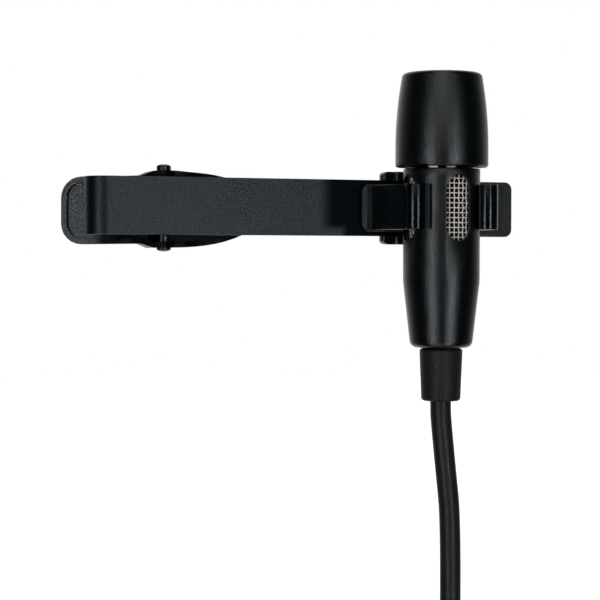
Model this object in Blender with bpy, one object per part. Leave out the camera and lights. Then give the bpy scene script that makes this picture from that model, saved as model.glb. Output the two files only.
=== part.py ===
"""Clip-on lavalier microphone: capsule head in a snap-in holder, tie clip, lead and plug.

The frame is the clip as worn: +Z runs up the microphone, +Y goes back into the cloth, and +X runs
along the clip's arm towards the microphone. The origin is where the jaw grips the arm's back face.
"""

import math

import bmesh
import bpy
import numpy as np
from mathutils import Matrix, Vector

MM = 0.001
TURN = 2.0 * math.pi

# Clearances between pieces
SEAT_GAP = 0.10 * MM
FIT_GAP = 0.15 * MM
CORD_GAP = 0.30 * MM

# Clip arm
ARM_WIDTH = 5.95 * MM
ARM_THICKNESS = 0.9 * MM
ARM_RIGHT_END = 11.4 * MM
ARM_BEND_START = -33.35 * MM
ARM_BEND_RADIUS = 2.15 * MM
ARM_BEND_ANGLE = math.radians(118)
ARM_CORNER_RADIUS = 0.8 * MM

# Pivot
PIVOT_X = -26.9 * MM
PIVOT_Y = 2.4 * MM
PIN_RADIUS = 0.75 * MM
PIN_LENGTH = 9.1 * MM
PIN_DOME = 0.25 * MM
PIN_DROP = 0.15 * MM
LUG_RADIUS = 1.15 * MM
LUG_THICKNESS = 0.6 * MM
LUG_INSET = 0.3 * MM

# Back lever
SHEET = 0.6 * MM
PLATE_TILT = math.radians(27)
PLATE_LENGTH = 6.65 * MM
PLATE_HALF_WIDTH = 3.555 * MM
PLATE_CORNER_RADIUS = 2.2 * MM
PLATE_BEND_RADIUS = 5.0 * MM
PLATE_BEND_END = -29.2 * MM
RIM_HEIGHT = 0.95 * MM
WAIST_RIM = 0.7 * MM
LEVER_BACK = 5.0 * MM
EAR_START = -28.95 * MM
EAR_RISE = 0.9 * MM
EAR_PEAK = -26.5 * MM
EAR_END = -17.0 * MM
EAR_BULGE = 0.445 * MM
EAR_TAPER = 3.0
EAR_DEPTH = 4.1 * MM
EAR_REACH = 3.9 * MM
WAIST_HALF_WIDTH = 2.37 * MM
NECK_START = -8.2 * MM
NECK_TILT = math.radians(38)
NECK_RADIUS = 3.0 * MM
LEVER_DROP = 0.30 * MM  # the lever's play on its pin lets it hang a little low there
LEVER_RISE = 0.0136  # and tilts it up towards the jaw

# Jaw head
JAW_LEFT = -3.24 * MM
JAW_RIGHT = 3.1 * MM
JAW_HALF_HEIGHT = 3.91 * MM
JAW_PLATE = 0.85 * MM
JAW_GAP = 0.3 * MM
JAW_RIB_RADIUS = 0.43 * MM
JAW_GROOVE = 0.6 * MM
JAW_CORNER_RADIUS = 0.9 * MM

# Torsion spring
SPRING_WIRE = 0.45 * MM
SPRING_TURNS = 5
SPRING_PITCH = 0.66 * MM
SPRING_ARM_LEG = 4.6 * MM
SPRING_LEVER_LEG = 5.0 * MM
SPRING_KNEE = 2.0 * MM
SPRING_POINTS = 10

# Microphone body
MIC_X = 1.0 * MM
MIC_STANDOFF = 4.9 * MM
BODY_RADIUS = 3.95 * MM
SHOULDER_RADIUS = 4.04 * MM
BODY_TOP = 4.02 * MM
SHOULDER_FADE = 0.9 * MM
TAPER_START = -7.7 * MM
TAPER_END = -13.98 * MM
TAIL_RADIUS = 3.3 * MM
BODY_BOTTOM = -14.68 * MM
BODY_CORNER = 0.75 * MM
BODY_BORE = 3.5 * MM
BODY_FLOOR = 1.4 * MM
TAIL_BORE = 2.55 * MM
BODY_SIDES = 32
INNER_SIDES = 24

# Sound windows and their mesh
WINDOW_COUNT = 4
WINDOW_TURN = math.radians(4.5)
WINDOW_WIDTH = 2.8 * MM
WINDOW_HEIGHT = 6.8 * MM
WINDOW_MIDDLE = -0.1 * MM
MESH_SHEET = 0.15 * MM
MESH_WIRE = 0.18 * MM
MESH_WAVE = 0.05 * MM
MESH_COLUMNS = 4
MESH_ROWS = 10
MESH_PITCH = 0.7 * MM
MESH_MARGIN = 0.1 * MM

# Capsule end
NECK_OUTER = 3.75 * MM
NECK_BORE = 2.7 * MM
CAPSULE_SEAT = 7.4 * MM
NECK_TOP = 11.1 * MM
CAPSULE_RADIUS = 3.0 * MM
CAPSULE_HEIGHT = 2.7 * MM
CAPSULE_PORT = 0.5 * MM
CAPSULE_PORT_DEPTH = 1.0 * MM
GASKET_HEIGHT = 0.5 * MM
BOARD_RADIUS = 2.5 * MM
BOARD_THICKNESS = 0.8 * MM
BOARD_DROP = 1.0 * MM
LEAD_RADIUS = 0.28 * MM
LEAD_SPREAD = 0.75 * MM
LEAD_STRAIGHT = 2.5 * MM
LEAD_END = 2.0 * MM
LEAD_STEP = 1.6 * MM

# Cap
CAP_GAP = 0.2 * MM
CAP_TOP = 14.03 * MM
CAP_RADIUS = 4.87 * MM
CAP_STRAIGHT = 1.8 * MM
CAP_CROWN = 44.3 * MM
CAP_CORNER = 0.5 * MM
CAP_SEAT_RADIUS = 3.7 * MM
CAP_LIP = 0.7 * MM
CAP_OPENING = 2.9 * MM
NET_PITCH = 0.84 * MM
NET_WIRE = 0.22 * MM
NET_THICKNESS = 0.2 * MM
FOAM_THICKNESS = 0.9 * MM

# Holder
HOLDER_HEIGHT = 4.65 * MM
BASE_HEIGHT = 5.0 * MM
BASE_LEFT = -6.35 * MM
BASE_RIGHT = 10.1 * MM
BASE_THICKNESS = 0.65 * MM
BASE_CORNER = 0.9 * MM
CLAMP_SUNK = 0.2 * MM
FINGER_ROUTE = [  # one finger's outer side from root to lip: across and back from the mic axis
    (6.9, 4.3),
    (6.35, 3.7),
    (6.2, 2.6),
    (6.1, 1.5),
    (5.85, 0.2),
    (5.45, -1.0),
]
LIP_CENTRE = (3.92, -2.17)  # across and back from the mic axis
LIP_RADIUS = 0.85 * MM
LIP_SLOPE = math.radians(-71)
TIP_CENTRE = (2.85, -3.40)  # across and back from the mic axis
TIP_ROUND = 0.12 * MM
THROAT_ANGLE = math.radians(42)
BORE_STEPS = 30
RIVET_SPACING = 3.2 * MM
RIVET_RADIUS = 0.45 * MM
RIVET_HEAD = 0.8 * MM
RIVET_HEAD_HEIGHT = 0.3 * MM

# Strain relief and ferrule
RELIEF_TOP_RADIUS = 2.25 * MM
RELIEF_END_RADIUS = 2.065 * MM
RELIEF_END = -20.28 * MM
RELIEF_SPIGOT = 1.6 * MM
RELIEF_COLLAR = 2.2 * MM
RELIEF_COLLAR_HEIGHT = 0.6 * MM
RELIEF_SOCKET = 1.2 * MM
FERRULE_RADIUS = 1.4 * MM
FERRULE_BORE = 1.15 * MM
FERRULE_LENGTH = 2.8 * MM

# Lead
CORD_DIAMETER = 2.2 * MM
CORD_STEP = 5.0 * MM
DROP_ROUTE = [  # sideways drift and height below the strain relief's end, chosen by eye
    (0.0, -1.4),
    (0.34, -4.9),
    (0.67, -8.0),
    (0.97, -10.8),
    (1.12, -14.0),
    (1.18, -18.5),
    (1.18, -26.0),
]

# Hank
HANK_TURNS = 2.5
HANK_LAYERS = 4
HANK_INNER = 5.8 * MM
HANK_STEP = 2.9 * MM
HANK_LAYER = 2.75 * MM
HANK_HALF_RUN = 21.5 * MM
HANK_WAIST = 4.2 * MM
HANK_TOP = -44.4 * MM
LOOP_POINTS = 24
RUN_SHARE = 0.125  # half a run, as a share of one turn
TIE_HEIGHT = 4.5 * MM
TIE_THICKNESS = 0.7 * MM
TIE_CLEARANCE = 0.5 * MM
TIE_CORNER = 1.6 * MM
TAIL_LENGTH = 13.0 * MM

# Plug
BOOT_LENGTH = 11.0 * MM
BOOT_THIN = 1.75 * MM
BOOT_THICK = 2.9 * MM
BOOT_RIBS = 4
BOOT_GROOVE = 0.35 * MM
COLLAR_HEIGHT = 2.0 * MM
COLLAR_RADIUS = 4.3 * MM
SHELL_RADIUS = 4.75 * MM
SHELL_WALL = 0.6 * MM
SHELL_LENGTH = 18.0 * MM
SHELL_CORNER = 0.5 * MM
INSERT_LENGTH = 7.5 * MM
INSERT_PROUD = 0.2 * MM
CONTACT_RADIUS = 0.6 * MM
CONTACT_BORE = 0.35 * MM
CONTACT_LENGTH = 6.0 * MM
CONTACT_CIRCLE = 2.1 * MM
CONTACT_COUNT = 3
LATCH_WIDTH = 3.0 * MM
LATCH_LENGTH = 5.0 * MM
LATCH_PROUD = 0.9 * MM
LATCH_DEPTH = 2.2 * MM
LATCH_FROM_FACE = 8.0 * MM
LATCH_CORNER = 0.6 * MM
SPIGOT_RADIUS = 1.9 * MM

# Places that follow from the sizes above
CAP_BORE = NECK_OUTER + FIT_GAP
MESH_RADIUS = BODY_BORE - SEAT_GAP
ARM_FRONT = -ARM_THICKNESS
MIC_Y = ARM_FRONT - MIC_STANDOFF
MIC_AXIS = Vector((MIC_X, MIC_Y, 0.0))
NECK_SEAT = BODY_TOP + SEAT_GAP
CAP_BASE = BODY_TOP + CAP_GAP
BODY_INNER_FLOOR = BODY_BOTTOM + BODY_FLOOR
CAPSULE_Z = CAPSULE_SEAT + GASKET_HEIGHT + 2 * SEAT_GAP
BOARD_Z = CAPSULE_SEAT - BOARD_DROP - BOARD_THICKNESS
RELIEF_TOP = BODY_BOTTOM - SEAT_GAP
FERRULE_Z = BODY_INNER_FLOOR + RELIEF_COLLAR_HEIGHT + 2 * SEAT_GAP
CORD_RADIUS = CORD_DIAMETER / 2
CORD_START = RELIEF_END + RELIEF_SOCKET - CORD_GAP
DROP_X = MIC_X + DROP_ROUTE[-1][0] * MM
HANK_OUTER = HANK_INNER + (HANK_TURNS + RUN_SHARE) * HANK_STEP
HANK_X = DROP_X - HANK_OUTER
HANK_Z = HANK_TOP - CORD_RADIUS - HANK_OUTER - HANK_HALF_RUN
HANK_BACK = MIC_Y + (HANK_LAYERS - 1) * HANK_LAYER
HANK_ENTRY = HANK_Z + HANK_HALF_RUN + CORD_DIAMETER
HANK_EXIT = HANK_Z - HANK_HALF_RUN - CORD_DIAMETER
TAIL_TOP = HANK_EXIT - CORD_GAP
PLUG_TOP = TAIL_TOP - TAIL_LENGTH
PLUG_AXIS = Vector((DROP_X, HANK_BACK, 0.0))
BOOT_END = PLUG_TOP - BOOT_LENGTH
SHELL_TOP = BOOT_END - COLLAR_HEIGHT - 2 * SEAT_GAP
SPIGOT_END = SHELL_TOP - 2 * SHELL_WALL
PLUG_FACE = SHELL_TOP - SHELL_LENGTH


def clear_scene():
    for thing in list(bpy.data.objects):
        bpy.data.objects.remove(thing, do_unlink=True)


def material(name, colour, roughness, metallic=0.0):
    """A plain finish with one colour."""
    made = bpy.data.materials.new(name)
    made.use_nodes = True
    shader = made.node_tree.nodes["Principled BSDF"]
    shader.inputs["Base Color"].default_value = (*colour, 1.0)
    shader.inputs["Roughness"].default_value = roughness
    shader.inputs["Metallic"].default_value = metallic
    return made


def add_object(name, mesh_builder, finish, crease=math.radians(35)):
    """Puts a bmesh into the scene under a name, facing out and smooth between its sharp edges."""
    bmesh.ops.remove_doubles(mesh_builder, verts=mesh_builder.verts, dist=1e-7)
    bmesh.ops.recalc_face_normals(mesh_builder, faces=mesh_builder.faces)
    mesh = bpy.data.meshes.new(name)
    mesh_builder.to_mesh(mesh)
    mesh_builder.free()
    mesh.materials.append(finish)
    mesh.shade_smooth()
    mesh.set_sharp_from_angle(angle=crease)
    made = bpy.data.objects.new(name, mesh)
    bpy.context.scene.collection.objects.link(made)
    return made


def arc(centre_u, centre_v, radius, start, end, steps):
    """Points on an arc in a plane, ends included."""
    return [
        (
            centre_u + radius * math.cos(start + (end - start) * i / steps),
            centre_v + radius * math.sin(start + (end - start) * i / steps),
        )
        for i in range(steps + 1)
    ]


def turned(name, profile, axis, finish, sides=32, closed=True):
    """Spins a profile of (radius, height) about a vertical axis. A closed profile is a ring's section."""
    form = bmesh.new()
    points = [form.verts.new((radius, 0.0, height)) for radius, height in profile]
    pairs = list(zip(points, points[1:]))
    if closed:
        pairs.append((points[-1], points[0]))
    edges = [form.edges.new(pair) for pair in pairs]
    bmesh.ops.spin(
        form,
        geom=points + edges,
        cent=(0, 0, 0),
        axis=(0, 0, 1),
        angle=TURN,
        steps=sides,
        use_merge=True,
    )
    bmesh.ops.remove_doubles(form, verts=form.verts, dist=1e-6)
    bmesh.ops.translate(form, verts=form.verts, vec=axis)
    return add_object(name, form, finish)


def slab(form, outline, low, high, place):
    """Extrudes a flat outline from low to high. place turns (u, v, w) into a point."""
    bottom = [form.verts.new(place(u, v, low)) for u, v in outline]
    face = form.faces.new(bottom)
    grown = bmesh.ops.extrude_face_region(form, geom=[face])
    top = [part for part in grown["geom"] if isinstance(part, bmesh.types.BMVert)]
    shift = Vector(place(0, 0, high)) - Vector(place(0, 0, low))
    bmesh.ops.translate(form, verts=top, vec=shift)
    wide = [part for part in form.faces if len(part.verts) > 4]
    bmesh.ops.triangulate(form, faces=wide)


def upright(u, v, w):
    """An outline in X and Y, raised along Z."""
    return (u, v, w)


def facing_front(u, v, w):
    """An outline in X and Z, raised along Y."""
    return (u, w, v)


def extruded(name, outline, low, high, finish, place=upright):
    form = bmesh.new()
    slab(form, outline, low, high, place)
    return add_object(name, form, finish)


def hide_tool(tool):
    tool.hide_render = True
    tool.display_type = "WIRE"


def combine(target, tool, operation):
    """Adds a live Boolean that cuts the tool from the target, or joins it to it."""
    hide_tool(tool)
    step = target.modifiers.new(operation.title(), "BOOLEAN")
    step.operation = operation
    step.solver = "EXACT"
    step.object = tool


def rod(name, start, end, radius, finish, sides=24):
    """A plain round bar between two points."""
    start = Vector(start)
    end = Vector(end)
    form = bmesh.new()
    bmesh.ops.create_cone(
        form,
        cap_ends=True,
        segments=sides,
        radius1=radius,
        radius2=radius,
        depth=(end - start).length,
    )
    turn = (end - start).to_track_quat("Z", "Y").to_matrix().to_4x4()
    bmesh.ops.transform(form, verts=form.verts, matrix=Matrix.Translation((start + end) / 2) @ turn)
    return add_object(name, form, finish)


def tube(name, points, radius, finish, resolution=2):
    """A round tube through the points, with filled ends."""
    curve = bpy.data.curves.new(name, "CURVE")
    curve.dimensions = "3D"
    curve.bevel_depth = radius
    curve.bevel_resolution = resolution
    curve.use_fill_caps = True
    line = curve.splines.new("POLY")
    line.points.add(len(points) - 1)
    for knot, place in zip(line.points, points):
        knot.co = (*place, 1.0)
    curve.materials.append(finish)
    made = bpy.data.objects.new(name, curve)
    bpy.context.scene.collection.objects.link(made)
    return made


def smooth_line(points, step):
    """Points about a step apart on a smooth curve through the given ones."""
    knots = [Vector(p) for p in points]
    padded = [2 * knots[0] - knots[1], *knots, 2 * knots[-1] - knots[-2]]
    fine = []
    for before, start, end, after in zip(padded, padded[1:], padded[2:], padded[3:]):
        parts = max(1, round((end - start).length / step))
        for i in range(parts):
            t = i / parts
            fine.append(
                0.5
                * (
                    2 * start
                    + (end - before) * t
                    + (2 * before - 5 * start + 4 * end - after) * t**2
                    + (3 * start - before - 3 * end + after) * t**3
                )
            )
    fine.append(knots[-1])
    return fine


def line_length(points):
    return sum((Vector(b) - Vector(a)).length for a, b in zip(points, points[1:]))


# ---------------------------------------------------------------- clip arm


def rounded_box(name, low, high, corner, finish, steps=6):
    """A plate facing front, with the corners of its outline rounded."""
    (x0, y0, z0), (x1, y1, z1) = low, high
    outline = (
        arc(x1 - corner, z1 - corner, corner, 0.0, math.pi / 2, steps)
        + arc(x0 + corner, z1 - corner, corner, math.pi / 2, math.pi, steps)
        + arc(x0 + corner, z0 + corner, corner, math.pi, 1.5 * math.pi, steps)
        + arc(x1 - corner, z0 + corner, corner, 1.5 * math.pi, TURN, steps)
    )
    return extruded(name, outline, y0, y1, finish, facing_front)


def rivet_places():
    return [MIC_X + side * RIVET_SPACING / 2 for side in (-1, 1)]


def bent_strip(name, finish):
    """The arm's strip: flat along X, with its left end rolled back in a short hook."""
    centre_y = ARM_FRONT + ARM_BEND_RADIUS
    steps = 12
    front = [(ARM_RIGHT_END, ARM_FRONT)] + [
        (ARM_BEND_START - ARM_BEND_RADIUS * math.sin(a), centre_y - ARM_BEND_RADIUS * math.cos(a))
        for a in (ARM_BEND_ANGLE * i / steps for i in range(steps + 1))
    ]
    inner = ARM_BEND_RADIUS - ARM_THICKNESS
    back = [
        (ARM_BEND_START - inner * math.sin(a), centre_y - inner * math.cos(a))
        for a in (ARM_BEND_ANGLE * i / steps for i in range(steps, -1, -1))
    ] + [(ARM_RIGHT_END, 0.0)]
    arm = extruded(name, front + back, -ARM_WIDTH / 2, ARM_WIDTH / 2, finish)
    keeper = rounded_box(
        "arm_outline",
        (ARM_BEND_START - 2 * ARM_BEND_RADIUS, -ARM_WIDTH, -ARM_WIDTH / 2),
        (ARM_RIGHT_END, ARM_WIDTH, ARM_WIDTH / 2),
        ARM_CORNER_RADIUS,
        finish,
    )
    combine(arm, keeper, "INTERSECT")
    return arm


def make_arm(finish):
    """The front arm: a bent strip with two lugs that carry the pivot pin."""
    arm = bent_strip("clip_arm", finish)
    lug_outline = arc(PIVOT_X, PIVOT_Y, LUG_RADIUS, 0.0, math.pi, 10)
    root = LUG_RADIUS * 1.5
    sunk = ARM_FRONT / 2
    lug_outline = lug_outline + [(PIVOT_X - root, sunk), (PIVOT_X + root, sunk)]
    for number, side in enumerate((-1, 1)):
        outer = side * (ARM_WIDTH / 2 - LUG_INSET)
        inner = outer - side * LUG_THICKNESS
        lug = extruded(f"lug_{number}", lug_outline, min(outer, inner), max(outer, inner), finish)
        combine(arm, lug, "UNION")
    reach = ARM_WIDTH
    drill = rod(
        "lug_drill",
        (PIVOT_X, PIVOT_Y, -reach),
        (PIVOT_X, PIVOT_Y, reach),
        PIN_RADIUS + SEAT_GAP,
        finish,
    )
    combine(arm, drill, "DIFFERENCE")
    for number, x in enumerate(rivet_places()):
        shank = rod(
            f"arm_rivet_hole_{number}",
            (x, ARM_FRONT - ARM_WIDTH, 0),
            (x, ARM_WIDTH, 0),
            RIVET_RADIUS + SEAT_GAP,
            finish,
            16,
        )
        combine(arm, shank, "DIFFERENCE")
        sink = rod(
            f"arm_rivet_sink_{number}",
            (x, -RIVET_HEAD_HEIGHT - 2 * SEAT_GAP, 0),
            (x, ARM_WIDTH, 0),
            RIVET_HEAD + SEAT_GAP,
            finish,
            16,
        )
        combine(arm, sink, "DIFFERENCE")
    return arm


def make_pin(finish):
    half = PIN_LENGTH / 2
    steps = 4
    dome = [
        (PIN_RADIUS * math.cos(a), half - PIN_DOME + PIN_DOME * math.sin(a))
        for a in (math.pi / 2 * i / steps for i in range(steps + 1))
    ]
    dome[-1] = (0.0, half)
    profile = [(r, -z) for r, z in reversed(dome)] + dome
    axis = Vector((PIVOT_X, PIVOT_Y, -PIN_DROP))
    return turned("pivot_pin", profile, axis, finish, INNER_SIDES, closed=False)


# ---------------------------------------------------------------- back lever


def lever_path():
    """The lever's back face in plan, from the press end to the neck, as (x, y, heading)."""
    plate_drop = PLATE_LENGTH * math.sin(PLATE_TILT)
    bend_run = PLATE_BEND_RADIUS * math.tan(PLATE_TILT / 2)
    corner_x = PLATE_BEND_END - bend_run
    start_x = corner_x - PLATE_LENGTH * math.cos(PLATE_TILT)
    path = []
    plate_parts = 5
    straight = PLATE_LENGTH - bend_run
    for i in range(plate_parts + 1):
        along = straight * i / plate_parts
        path.append(
            (
                start_x + along * math.cos(PLATE_TILT),
                LEVER_BACK + plate_drop - along * math.sin(PLATE_TILT),
                -PLATE_TILT,
            )
        )
    bend_parts = 4
    bend_x = corner_x + bend_run
    bend_y = LEVER_BACK + PLATE_BEND_RADIUS
    for i in range(1, bend_parts + 1):
        angle = -PLATE_TILT * (1 - i / bend_parts)
        path.append(
            (
                bend_x + PLATE_BEND_RADIUS * math.sin(angle),
                bend_y - PLATE_BEND_RADIUS * math.cos(angle),
                angle,
            )
        )
    run_parts = 20
    for i in range(1, run_parts + 1):
        path.append((bend_x + (NECK_START - bend_x) * i / run_parts, LEVER_BACK, 0.0))
    neck_parts = 5
    centre_y = LEVER_BACK - NECK_RADIUS
    for i in range(1, neck_parts + 1):
        angle = -NECK_TILT * i / neck_parts
        path.append(
            (
                NECK_START - NECK_RADIUS * math.sin(angle),
                centre_y + NECK_RADIUS * math.cos(angle),
                angle,
            )
        )
    x, y, heading = path[-1]
    jaw_middle = JAW_GAP + JAW_RIB_RADIUS + JAW_PLATE / 2 + SHEET / 2
    slope_run = (y - jaw_middle) / math.sin(NECK_TILT)
    for share in (0.5, 1.0):
        path.append(
            (
                x + slope_run * share * math.cos(NECK_TILT),
                y - slope_run * share * math.sin(NECK_TILT),
                heading,
            )
        )
    return path


def flange_share(x):
    """How far the flanges reach towards the arm, fullest at the pivot."""
    away = (x - PIVOT_X) / EAR_REACH
    return math.cos(away * math.pi / 2) ** 2 if abs(away) < 1 else 0.0


def taper_share(x):
    """None up to the ears' widest place, then a taper that quickens to the narrow run behind the arm."""
    fall = min(1.0, max(0.0, (x - EAR_PEAK) / (EAR_END - EAR_PEAK)))
    return fall**EAR_TAPER


def half_width(x):
    """Half the lever's width along the arm, behind the press plate's round corners."""
    rise = min(1.0, max(0.0, (x - EAR_START) / EAR_RISE))
    wide = PLATE_HALF_WIDTH + EAR_BULGE * math.sin(rise * math.pi / 2)
    return wide + (WAIST_HALF_WIDTH - wide) * taper_share(x)


def rim_height(x):
    return RIM_HEIGHT + (WAIST_RIM - RIM_HEIGHT) * taper_share(x)


def lever_stations():
    """Outer and inner (path place, half width) pairs, flange height and place in the order of travel."""
    path = lever_path()
    along = [0.0]
    for (x0, y0, _), (x1, y1, _) in zip(path, path[1:]):
        along.append(along[-1] + math.hypot(x1 - x0, y1 - y0))
    corner_parts = 6
    stations = []
    for i in range(corner_parts + 1):
        a = math.pi / 2 * i / corner_parts
        inner_radius = PLATE_CORNER_RADIUS - SHEET
        square = PLATE_HALF_WIDTH - PLATE_CORNER_RADIUS
        stations.append(
            (
                (PLATE_CORNER_RADIUS * (1 - math.cos(a)), square + PLATE_CORNER_RADIUS * math.sin(a)),
                (SHEET + inner_radius * (1 - math.cos(a)), square + inner_radius * math.sin(a)),
                RIM_HEIGHT,
            )
        )
    for (x, _, _), s in zip(path, along):
        if s > PLATE_CORNER_RADIUS + SHEET / 2:
            width = half_width(x)
            height = rim_height(x) + (EAR_DEPTH - RIM_HEIGHT) * flange_share(x)
            stations.append(((s, width), (s, width - SHEET), height))
    return path, along, stations


def lever_height(x):
    """The height of the lever's middle line: a little low at its pin and rising towards the jaw."""
    return LEVER_RISE * (x - PIVOT_X) - LEVER_DROP


def on_path(path, along, s, n, z):
    """The point at a distance along the lever, n towards the arm from its back face."""
    i = 0
    while i < len(along) - 2 and along[i + 1] < s:
        i += 1
    share = (s - along[i]) / (along[i + 1] - along[i])
    x0, y0, a0 = path[i]
    x1, y1, a1 = path[i + 1]
    angle = a0 + (a1 - a0) * share
    x = x0 + (x1 - x0) * share + n * math.sin(angle)
    y = y0 + (y1 - y0) * share - n * math.cos(angle)
    return Vector((x, y, z + lever_height(x)))


def make_lever(finish):
    """The back lever: a pressed tray with ears, narrowing to a neck that carries the ribbed jaw."""
    path, along, stations = lever_stations()
    form = bmesh.new()
    rows = []
    for (outer_s, outer_w), (inner_s, inner_w), height in stations:
        row = []
        for side in (-1, 1):
            row.append(
                [
                    form.verts.new(on_path(path, along, outer_s, 0.0, side * outer_w)),
                    form.verts.new(on_path(path, along, outer_s, height, side * outer_w)),
                    form.verts.new(on_path(path, along, inner_s, height, side * inner_w)),
                    form.verts.new(on_path(path, along, inner_s, SHEET, side * inner_w)),
                ]
            )
        rows.append(row)
    for (low_a, high_a), (low_b, high_b) in zip(rows, rows[1:]):
        for near, far in ((low_a, low_b), (high_a, high_b)):
            for i in range(3):
                form.faces.new((near[i], near[i + 1], far[i + 1], far[i]))
        for i in (0, 3):
            form.faces.new((low_a[i], high_a[i], high_b[i], low_b[i]))
    low, high = rows[0]
    for i in range(3):
        form.faces.new((low[i], low[i + 1], high[i + 1], high[i]))
    low, high = rows[-1]
    form.faces.new((low[0], low[3], high[3], high[0]))
    form.faces.new((low[0], low[1], low[2], low[3]))
    form.faces.new((high[0], high[1], high[2], high[3]))
    lever = add_object("clip_lever", form, finish)
    combine(lever, jaw_head(finish), "UNION")
    drill = rod(
        "ear_drill",
        (PIVOT_X, PIVOT_Y, -ARM_WIDTH),
        (PIVOT_X, PIVOT_Y, ARM_WIDTH),
        PIN_RADIUS + SEAT_GAP,
        finish,
    )
    combine(lever, drill, "DIFFERENCE")
    return lever


def jaw_head(finish):
    """The jaw: a plate across the arm with a rounded rib at each side of a flat pad."""
    rib_y = JAW_GAP + JAW_RIB_RADIUS
    pad_start = JAW_LEFT + 2 * JAW_RIB_RADIUS + JAW_GROOVE
    pad_end = JAW_RIGHT - 2 * JAW_RIB_RADIUS - JAW_GROOVE
    back = rib_y + JAW_PLATE
    corner = JAW_PLATE / 2
    outline = arc(JAW_LEFT + JAW_RIB_RADIUS, rib_y, JAW_RIB_RADIUS, math.pi, TURN, 8)
    outline += arc(pad_start + JAW_RIB_RADIUS, rib_y, JAW_RIB_RADIUS, math.pi, 1.5 * math.pi, 4)
    outline += arc(pad_end - JAW_RIB_RADIUS, rib_y, JAW_RIB_RADIUS, 1.5 * math.pi, TURN, 4)
    outline += arc(JAW_RIGHT - JAW_RIB_RADIUS, rib_y, JAW_RIB_RADIUS, math.pi, TURN, 8)
    outline += arc(JAW_RIGHT - corner, back - corner, corner, 0.0, math.pi / 2, 4)
    outline += arc(JAW_LEFT + corner, back - corner, corner, math.pi / 2, math.pi, 4)
    middle = lever_height((JAW_LEFT + JAW_RIGHT) / 2)
    low = middle - JAW_HALF_HEIGHT
    high = middle + JAW_HALF_HEIGHT
    head = extruded("jaw_head", outline, low, high, finish)
    keeper = rounded_box(
        "jaw_outline",
        (JAW_LEFT - FIT_GAP, -JAW_PLATE, low),
        (JAW_RIGHT + FIT_GAP, back + JAW_PLATE, high),
        JAW_CORNER_RADIUS,
        finish,
    )
    combine(head, keeper, "INTERSECT")
    return head


def make_spring(finish):
    """The torsion spring: turns about the pin, one leg along the arm and one under the press plate."""
    radius = PIN_RADIUS + SPRING_WIRE / 2 + 2 * FIT_GAP
    rest = SPRING_WIRE / 2 + FIT_GAP
    path, along, _ = lever_stations()
    turn = (SPRING_TURNS - 0.5) * TURN
    start = -math.pi / 2
    half = SPRING_PITCH * turn / TURN / 2
    count = int(SPRING_POINTS * turn / TURN)
    coil = [
        (
            PIVOT_X + radius * math.cos(start + turn * i / count),
            PIVOT_Y + radius * math.sin(start + turn * i / count),
            -half + 2 * half * i / count,
        )
        for i in range(count + 1)
    ]
    arm_leg = [
        (PIVOT_X - SPRING_ARM_LEG, rest, -half),
        (PIVOT_X - radius, (rest + PIVOT_Y - radius) / 2, -half),
    ]
    knee = on_path(path, along, SPRING_LEVER_LEG + SPRING_KNEE, SHEET + rest, half)
    end = on_path(path, along, SPRING_LEVER_LEG, SHEET + rest, half)
    flat = (PIVOT_X - radius, PIVOT_Y + radius, half)
    return tube("clip_spring", arm_leg + coil + [flat, knee, end], SPRING_WIRE / 2, finish, 1)


# ---------------------------------------------------------------- microphone


def crown_radius(height):
    """The cap's outer radius above its straight skirt, on the arc of its crown."""
    rise = max(0.0, height - CAP_BASE - CAP_STRAIGHT)
    return CAP_RADIUS - CAP_CROWN + math.sqrt(CAP_CROWN**2 - rise**2)


def make_cap(finish):
    """The barrel cap: a straight skirt under a crowned head, open at the top over its mesh."""
    crown_steps = 5
    crown_start = CAP_BASE + CAP_STRAIGHT
    crown_end = CAP_TOP - CAP_CORNER
    outer = [(CAP_RADIUS, CAP_BASE)]
    for i in range(crown_steps + 1):
        z = crown_start + (crown_end - crown_start) * i / crown_steps
        outer.append((crown_radius(z), z))
    edge = crown_radius(crown_end)
    outer += arc(edge - CAP_CORNER, crown_end, CAP_CORNER, 0.0, math.pi / 2, 5)[1:]
    seat = CAP_TOP - CAP_LIP
    inner = [
        (CAP_OPENING, CAP_TOP),
        (CAP_OPENING, seat),
        (CAP_SEAT_RADIUS, seat),
        (CAP_SEAT_RADIUS, seat - FOAM_THICKNESS - NET_THICKNESS - 3 * SEAT_GAP),
        (CAP_BORE, NECK_TOP + FIT_GAP),
        (CAP_BORE, CAP_BASE),
    ]
    return turned("cap", outer + inner, MIC_AXIS, finish, BODY_SIDES)


def net_faces(form, radius, pitch, height):
    """Square cells that lie inside a circle, as one flat sheet of quads."""
    count = int(radius / pitch) + 1
    grid = {}
    for i in range(-count, count + 1):
        for j in range(-count, count + 1):
            grid[i, j] = form.verts.new((i * pitch, j * pitch, height))
    for i in range(-count, count):
        for j in range(-count, count):
            centre = math.hypot(i + 0.5, j + 0.5) * pitch
            if centre < radius:
                form.faces.new((grid[i, j], grid[i + 1, j], grid[i + 1, j + 1], grid[i, j + 1]))
    loose = [v for v in form.verts if not v.link_faces]
    bmesh.ops.delete(form, geom=loose, context="VERTS")


def punch(form, faces, wire):
    """Opens a hole in each face and leaves a wire of that width between the holes."""
    bmesh.ops.inset_individual(form, faces=faces, thickness=wire / 2, use_even_offset=True)
    bmesh.ops.delete(form, geom=faces, context="FACES_ONLY")


def thicken(thing, thickness):
    """Gives a sheet its thickness, inwards from its outer face."""
    step = thing.modifiers.new("Sheet", "SOLIDIFY")
    step.thickness = thickness
    step.offset = -1.0
    step.use_even_offset = True


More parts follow.
